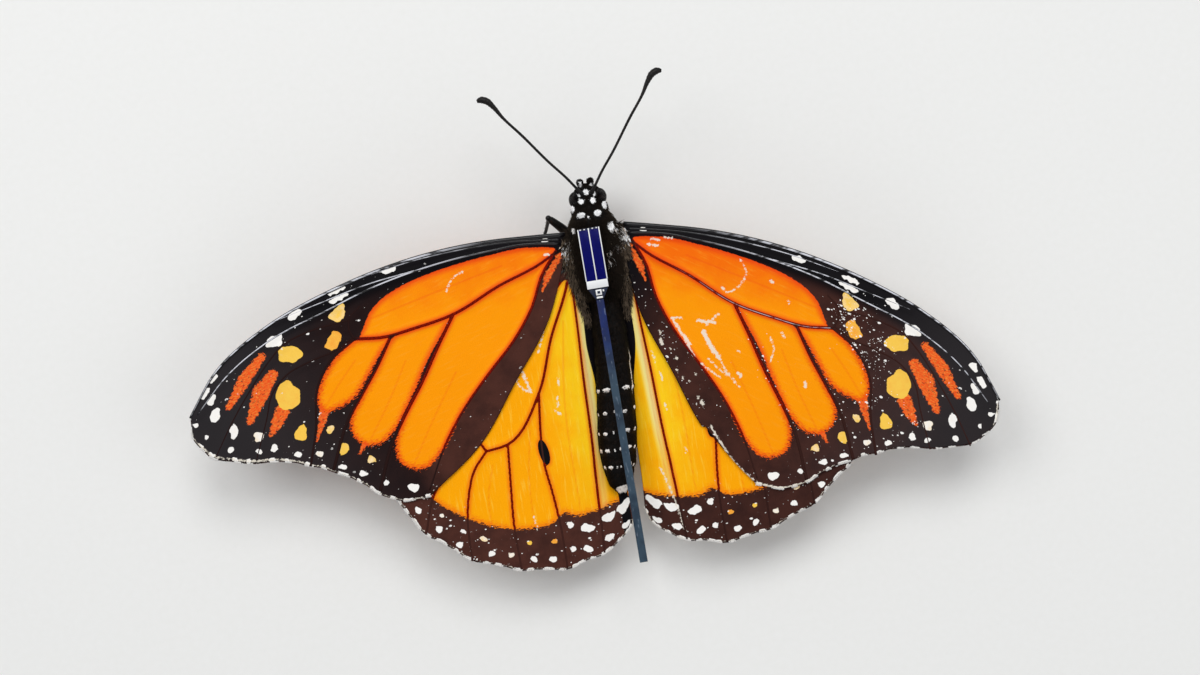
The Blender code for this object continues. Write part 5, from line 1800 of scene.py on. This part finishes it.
class BUTTERFLY_OT_legs(bpy.types.Operator):
    """Build the four walking legs and the two small folded forelegs"""

    bl_idname = "butterfly.legs"
    bl_label = "Legs"

    def execute(self, context):
        settings = context.scene.butterfly_body
        # Leg horn: black and waxy, brown where it is thin. The forelegs' scales make them matt.
        horn = chitin("leg_horn", settings.leg_black, settings.leg_brown, 0.42, 6.0)
        scales = chitin("foreleg_scales", settings.leg_black, settings.leg_brown, 0.6, 14.0)
        rng = np.random.default_rng(9)
        for side_name, side in SIDES.items():
            self.walking_leg(f"midleg_{side_name}", MIDLEGS[side_name], side, horn, rng)
            self.walking_leg(f"hindleg_{side_name}", HINDLEG, side, horn, rng)
            bm = bmesh.new()
            add_tube(bm, mirrored(FORELEG, side), 40, 12, profile=self.foreleg)
            piece(mesh_of(f"foreleg_{side_name}_scaled", bm), [scales], [f"foreleg_{side_name}"])
        return {"FINISHED"}

    @staticmethod
    def foreleg(t):
        """Narrow at its two joints."""
        return 1.0 - sum(0.22 * np.exp(-(((t - joint) / 0.05) ** 2)) for joint in (0.36, 0.72))

    @staticmethod
    def thigh(t):
        return 1.0 + 0.18 * np.sin(math.pi * t) - 0.2 * ramp(t, 0.92, 1.0)

    @staticmethod
    def foot(t):
        """Five joints, each wider at its far end."""
        joint = np.array([0.0, 0.42, 0.6, 0.74, 0.86, 1.0001])
        i = np.clip(np.searchsorted(joint, t, side="right") - 1, 0, 4)
        within = (t - joint[i]) / (joint[i + 1] - joint[i])
        return 0.82 + 0.3 * within**2 - 0.25 * ramp(within, 0.93, 1.0)

    def walking_leg(self, name, points, side, material, rng):
        points = np.array(mirrored(points, side))
        hip, knee, ankle, toe = points[0], points[2], points[4], points[7]
        bm = bmesh.new()
        thigh = np.column_stack([points[:3], [0.48, 0.5, 0.42]])
        shin = np.column_stack([points[2:5], [0.24, 0.22, 0.2]])
        foot = np.column_stack([points[4:8], [0.19, 0.17, 0.15, 0.13]])
        add_tube(bm, thigh, 40, 14, profile=self.thigh)
        add_tube(bm, shin, 40, 12)
        add_tube(bm, foot, 90, 12, profile=self.foot)
        add_ball(bm, knee, (0.37, 0.37, 0.37), 16)
        add_ball(bm, ankle, (0.21, 0.21, 0.21), 16)
        add_ball(bm, hip, (0.5, 0.5, 0.5), 18)
        forward = unit(toe - points[6])
        across = unit(np.cross(forward, [0.0, 0.0, 1.0]))
        for claw in SIDES.values():
            tip = toe + forward * 0.45 + across * claw * 0.3
            rows = [
                (*(toe + across * claw * 0.05), 0.07),
                (*(toe + forward * 0.28 + across * claw * 0.2 + [0, 0, 0.05]), 0.05),
                (*(tip - [0, 0, 0.1]), 0.02),
            ]
            add_tube(bm, rows, 8, 6)
        self.add_spines(bm, shin, foot, rng)
        for vert in bm.verts:
            vert.co.z = max(vert.co.z, 0.0)
        piece(mesh_of(f"{name}_joints", bm), [material], [name], 50)

    def add_spines(self, bm, shin, foot, rng):
        """Short stiff spines along the shin and the foot, in rows."""
        for rows, count in ((shin, 18), (foot, 26)):
            t = np.linspace(0.08, 0.97, count)
            centre = along(rows, t)
            ahead = unit(along(rows, np.clip(t + 0.02, 0, 1))[:, :3] - centre[:, :3])
            for i in range(count):
                out = unit(np.cross(ahead[i], rng.normal(0, 1, 3)))
                start = centre[i, :3] + out * centre[i, 3] * 0.7
                direction = unit(out + ahead[i] * 0.8)
                place = Matrix.Translation(start + direction * 0.12) @ direction_matrix(direction)
                size = {"radius1": 0.035, "radius2": 0.006, "depth": 0.26}
                bmesh.ops.create_cone(bm, segments=5, cap_ends=True, matrix=place, **size)


def direction_matrix(direction):
    """The turn that takes straight up to a direction."""
    up = np.array([0.0, 0.0, 1.0])
    axis = np.cross(up, direction)
    angle = math.acos(max(-1.0, min(1.0, float(direction @ up))))
    if np.linalg.norm(axis) < 1e-6:
        axis = np.array([1.0, 0.0, 0.0])
    return Matrix.Rotation(angle, 4, axis)


# ------------------------------------------------------------------ the radio tag


def plate(bm, centre, size, bevel, far_width=None, far_drop=0.0):
    """Add a bevelled block whose rear end may be narrower or wider, and lower."""
    made = bmesh.ops.create_cube(bm, size=1.0)["verts"]
    for vert in made:
        if vert.co.y < 0 and far_width is not None:
            vert.co.x *= far_width / size[0]
            vert.co.z -= far_drop / size[2]
    bmesh.ops.scale(bm, vec=size, verts=made)
    bmesh.ops.translate(bm, vec=centre, verts=made)
    edges = list({edge for vert in made for edge in vert.link_edges})
    bmesh.ops.bevel(bm, geom=edges, offset=bevel, segments=3, profile=0.5, material=-1, affect="EDGES")


class BUTTERFLY_OT_tag(bpy.types.Operator):
    """Build the radio tag: board, two solar cells, tail, chip and antenna film"""

    bl_idname = "butterfly.tag"
    bl_label = "Radio tag"

    def execute(self, context):
        settings = context.scene.butterfly_tag
        bevel = settings.bevel / MM
        board, silver = self.board_finish(settings), self.silver_finish(settings)
        size = (TAG_WIDTH, TAG_LENGTH, BOARD_THICKNESS)
        plates = [(0.0, (TAG_FRONT_Y + TAG_REAR_Y) / 2, -BOARD_THICKNESS / 2, size, bevel)]
        self.add_part("board_plate", plates, board, "circuit_board", "tag_board")
        cell = self.cell_finish(settings)
        for side_name, side in SIDES.items():
            middle_y = TAG_FRONT_Y - 0.22 - CELL_SIZE[1] / 2
            plates = [(side * 0.66, middle_y, CELL_SIZE[2] / 2, CELL_SIZE, 0.03)]
            self.add_part(f"cell_{side_name}_wafer", plates, cell, "solar_cell", f"tag_cell_{side_name}")
        # Silver lines at both edges and down the middle, the band at the rear, dots along the front, and
        # solder on the tail, behind and beside the chip.
        plates = [
            (x, TAG_FRONT_Y - 3.3, CELL_SIZE[2], (width, 6.5, 0.05), 0.015)
            for x, width in ((-1.31, 0.13), (0.0, 0.14), (1.31, 0.13))
        ]
        plates.append((0.0, TAG_REAR_Y + 0.57, 0.05, (2.66, 1.05, 0.14), 0.03))
        plates += [(0.51 * (i - 2), TAG_FRONT_Y - 0.13, 0.08, (0.2, 0.14, 0.12), 0.03) for i in range(5)]
        plates.append((0.02, TAIL_Y - 0.42, 0.02, (0.78, 0.24, 0.1), 0.04))
        plates.append((0.6, TAIL_Y + 0.36, 0.02, (0.2, 0.26, 0.1), 0.04))
        self.add_part("contact_lines", plates, silver, "chip_case")
        plates = [(0.0, TAIL_Y, -BOARD_THICKNESS / 2, (2.45, TAIL_LENGTH, BOARD_THICKNESS), bevel, 0.95)]
        self.add_part("tail_plate", plates, board, "circuit_board", "tag_tail")
        plates = [(0.0, TAIL_Y + 0.2, 0.14, (0.75, 0.7, 0.28), 0.05)]
        self.add_part("chip_body", plates, silver, "chip_case", "tag_chip")
        plates = [
            (0.0, TAIL_Y + 0.2, 0.3, (0.34, 0.32, 0.06), 0.02),
            (0.62, TAIL_Y - 0.1, 0.03, (0.3, 0.26, 0.12), 0.03),
        ]
        self.add_part("chip_lid", plates, board, "circuit_board")
        # The film widens a little and sinks by 1 mm towards its end.
        middle_y = STRIP_START_Y - STRIP_LENGTH / 2
        plates = [(0.0, middle_y, -BOARD_THICKNESS / 2, (0.92, STRIP_LENGTH, 0.3), 0.05, 1.0, 1.0)]
        self.add_part("antenna_strip", plates, self.film_finish(settings), "antenna_film", "tag_antenna")
        # The bead of black glue between the thorax's back and the board.
        bm = bmesh.new()
        add_ball(bm, (TAG_X + 0.1, -0.6, BOARD_TOP_Z - 0.62), (1.05, 2.6, 0.42), 32)
        body = context.scene.butterfly_body
        glue = chitin("black_glue", body.hair_black, body.leg_brown, 0.3, 3.0)
        piece(mesh_of("glue_bead", bm), [glue])
        return {"FINISHED"}

    def add_part(self, name, plates, material, slot, *replaced):
        """Add one piece made of plates, with x from the tag's middle and z from the board's top."""
        bm = bmesh.new()
        for x, y, z, size, *shape in plates:
            plate(bm, (TAG_X + x, y, BOARD_TOP_Z + z), size, *shape)
        piece(mesh_of(name, bm), [material], replaced, 30)

    def board_finish(self, settings):
        """Coated glass-fibre board: a dark satin lacquer, faintly woven."""
        levels = {"Roughness": 0.4, "Specular_IOR_Level": 0.25, "Coat_Weight": 0.05}
        material, tree, shader = surface("coated_glass_fibre", **levels)
        cloth = waves_of(tree, millimetres(tree), {"cloth": (5.0, 3.0, 0.5)})["cloth"]
        colour = layered(tree, settings.board, [(cloth, 1.0, settings.board_light)])
        dress(tree, shader, colour, cloth, 0.02, 0.25)
        return material

    def silver_finish(self, settings):
        """Printed silver paste and solder: bright, slightly grainy."""
        material, tree, shader = surface("silver_paste", Metallic=0.2, Roughness=0.42)
        grain = waves_of(tree, millimetres(tree), {"grain": (12.0, 2.0, 0.5)})["grain"]
        dress(tree, shader, layered(tree, settings.silver, [(grain, 1.0, settings.chip)]), grain, 0.015, 0.3)
        return material

    def cell_finish(self, settings):
        """Solar cell: glossy deep blue silicon under clear lacquer, a little cloudy."""
        levels = {"Roughness": 0.25, "Specular_IOR_Level": 0.08, "Coat_Weight": 0.03}
        material, tree, shader = surface("solar_silicon", **levels)
        waves = {"cloud": (1.2, 2.0, 0.5), "speck": (5.0, 2.0, 0.7)}
        wave = waves_of(tree, millimetres(tree), waves)
        share = add(tree, "MapRange", (wave["speck"], 0.7, 0.8), **SMOOTH)
        layers = [(wave["cloud"], 1.0, settings.cell_light), (share, 0.12, settings.silver)]
        dress(tree, shader, layered(tree, settings.cell, layers))
        return material

    def film_finish(self, settings):
        """Antenna film: polyimide, blue and shiny near the tag and dark bluish grey further out, with
        scuffs.
        """
        levels = {"Roughness": 0.35, "Specular_IOR_Level": 0.2, "Coat_Weight": 0.05}
        material, tree, shader = surface("antenna_polyimide", **levels)
        place = millimetres(tree)
        wave = waves_of(tree, place, {"scuff": ((4.0, 1.0, 4.0), 3.0, 0.5), "shade": (0.6, 2.0, 0.5)})
        away = add(tree, "SeparateXYZ", (place,), 1)
        start = THORAX_AT[1] + STRIP_START_Y
        steps = {
            "far": (away, start - 3.0, start - 11.0),
            "scuff": (wave["scuff"], 0.6, 0.7),
            "dark": (wave["shade"], 0.4, 0.7),
        }
        share = add_each(tree, "MapRange", steps, **SMOOTH)
        layers = [
            (share["far"], 1.0, settings.strip_slate),
            (share["dark"], 0.5, settings.board),
            (share["scuff"], 0.35, settings.strip_scuff),
        ]
        dress(tree, shader, layered(tree, settings.strip_blue, layers), wave["scuff"], 0.02, 0.2)
        return material


# ------------------------------------------------------------------ the stage


class BUTTERFLY_OT_stage(bpy.types.Operator):
    """Add the floor, the lights and the camera"""

    bl_idname = "butterfly.stage"
    bl_label = "Stage"

    def execute(self, context):
        settings = context.scene.butterfly_stage
        bm = bmesh.new()
        bmesh.ops.create_grid(bm, x_segments=2, y_segments=2, size=FLOOR_HALF_WIDTH)
        mesh = mesh_from("floor", bm)
        # Matt painted board: even, with only the faintest tooth.
        material, tree, shader = surface("matt_paint", Roughness=0.8, Specular_IOR_Level=0.2)
        tooth = waves_of(tree, millimetres(tree), {"tooth": (1.2, 4.0, 0.5)})["tooth"]
        dress(tree, shader, layered(tree, settings.floor, [(tooth, 1.0, settings.floor_tooth)]))
        mesh.materials.append(material)
        floor = bpy.data.objects.new("floor", mesh)
        context.scene.collection.objects.link(floor)
        world = bpy.data.worlds.new("studio")
        context.scene.world = world
        world.use_nodes = True
        world.node_tree.nodes["Background"].inputs[0].default_value = srgb("#F4F6FA")
        world.node_tree.nodes["Background"].inputs[1].default_value = settings.sky
        middle_x, middle_y, _ = (np.array(CAD_BOX[0]) + np.array(CAD_BOX[1])) / 2
        target = Vector((middle_x, middle_y, LIGHTS_AIM_Z))
        for name, (place, size, source, share) in LIGHTS.items():
            light = bpy.data.lights.new(name, "AREA")
            light.shape = "DISK"
            light.size = size
            light.energy = getattr(settings, source) * share
            obj = bpy.data.objects.new(name, light)
            obj.location = place
            obj.rotation_euler = (target - obj.location).to_track_quat("-Z", "Y").to_euler()
            context.scene.collection.objects.link(obj)
        camera = bpy.data.cameras.new("camera")
        camera.lens = CAMERA_LENS
        camera.sensor_width = 36.0
        camera.clip_start = 0.005
        camera.clip_end = 10.0
        view = bpy.data.objects.new("camera", camera)
        at = in_frame(CAMERA_OVER)
        view.location = (at[0], at[1], settings.camera_height)
        view.rotation_euler = (0.0, 0.0, math.radians(CAMERA_TURN))
        context.scene.collection.objects.link(view)
        context.scene.camera = view
        context.scene.view_settings.view_transform = "Standard"
        return {"FINISHED"}


class BUTTERFLY_PT_panel(bpy.types.Panel):
    """Lists the butterfly's pieces and their sizes and colours"""

    bl_label = "Butterfly"
    bl_idname = "BUTTERFLY_PT_panel"
    bl_space_type = "VIEW_3D"
    bl_region_type = "UI"
    bl_category = "Butterfly"

    def draw(self, context):
        for step in STEPS:
            self.layout.operator(step.bl_idname)
        for group in GROUPS:
            settings = getattr(context.scene, group)
            for key in settings.bl_rna.properties.keys():
                if key not in ("rna_type", "name"):
                    self.layout.prop(settings, key)


STEPS = (
    BUTTERFLY_OT_stage,
    BUTTERFLY_OT_forewings,
    BUTTERFLY_OT_hindwings,
    BUTTERFLY_OT_skin,
    BUTTERFLY_OT_coat,
    BUTTERFLY_OT_eyes,
    BUTTERFLY_OT_feelers,
    BUTTERFLY_OT_mouthparts,
    BUTTERFLY_OT_legs,
    BUTTERFLY_OT_tag,
)
GROUPS = {
    "butterfly_wings": WingSettings,
    "butterfly_body": BodySettings,
    "butterfly_tag": TagSettings,
    "butterfly_stage": StageSettings,
}


def register():
    for made in (*GROUPS.values(), *STEPS, BUTTERFLY_PT_panel):
        bpy.utils.register_class(made)
    for name, group in GROUPS.items():
        setattr(bpy.types.Scene, name, PointerProperty(type=group))


def unregister():
    for name in GROUPS:
        delattr(bpy.types.Scene, name)
    for made in (BUTTERFLY_PT_panel, *reversed(STEPS), *GROUPS.values()):
        bpy.utils.unregister_class(made)


def main():
    register()
    for step in STEPS:
        group, name = step.bl_idname.split(".")
        getattr(getattr(bpy.ops, group), name)()


if __name__ == "__main__":
    main()
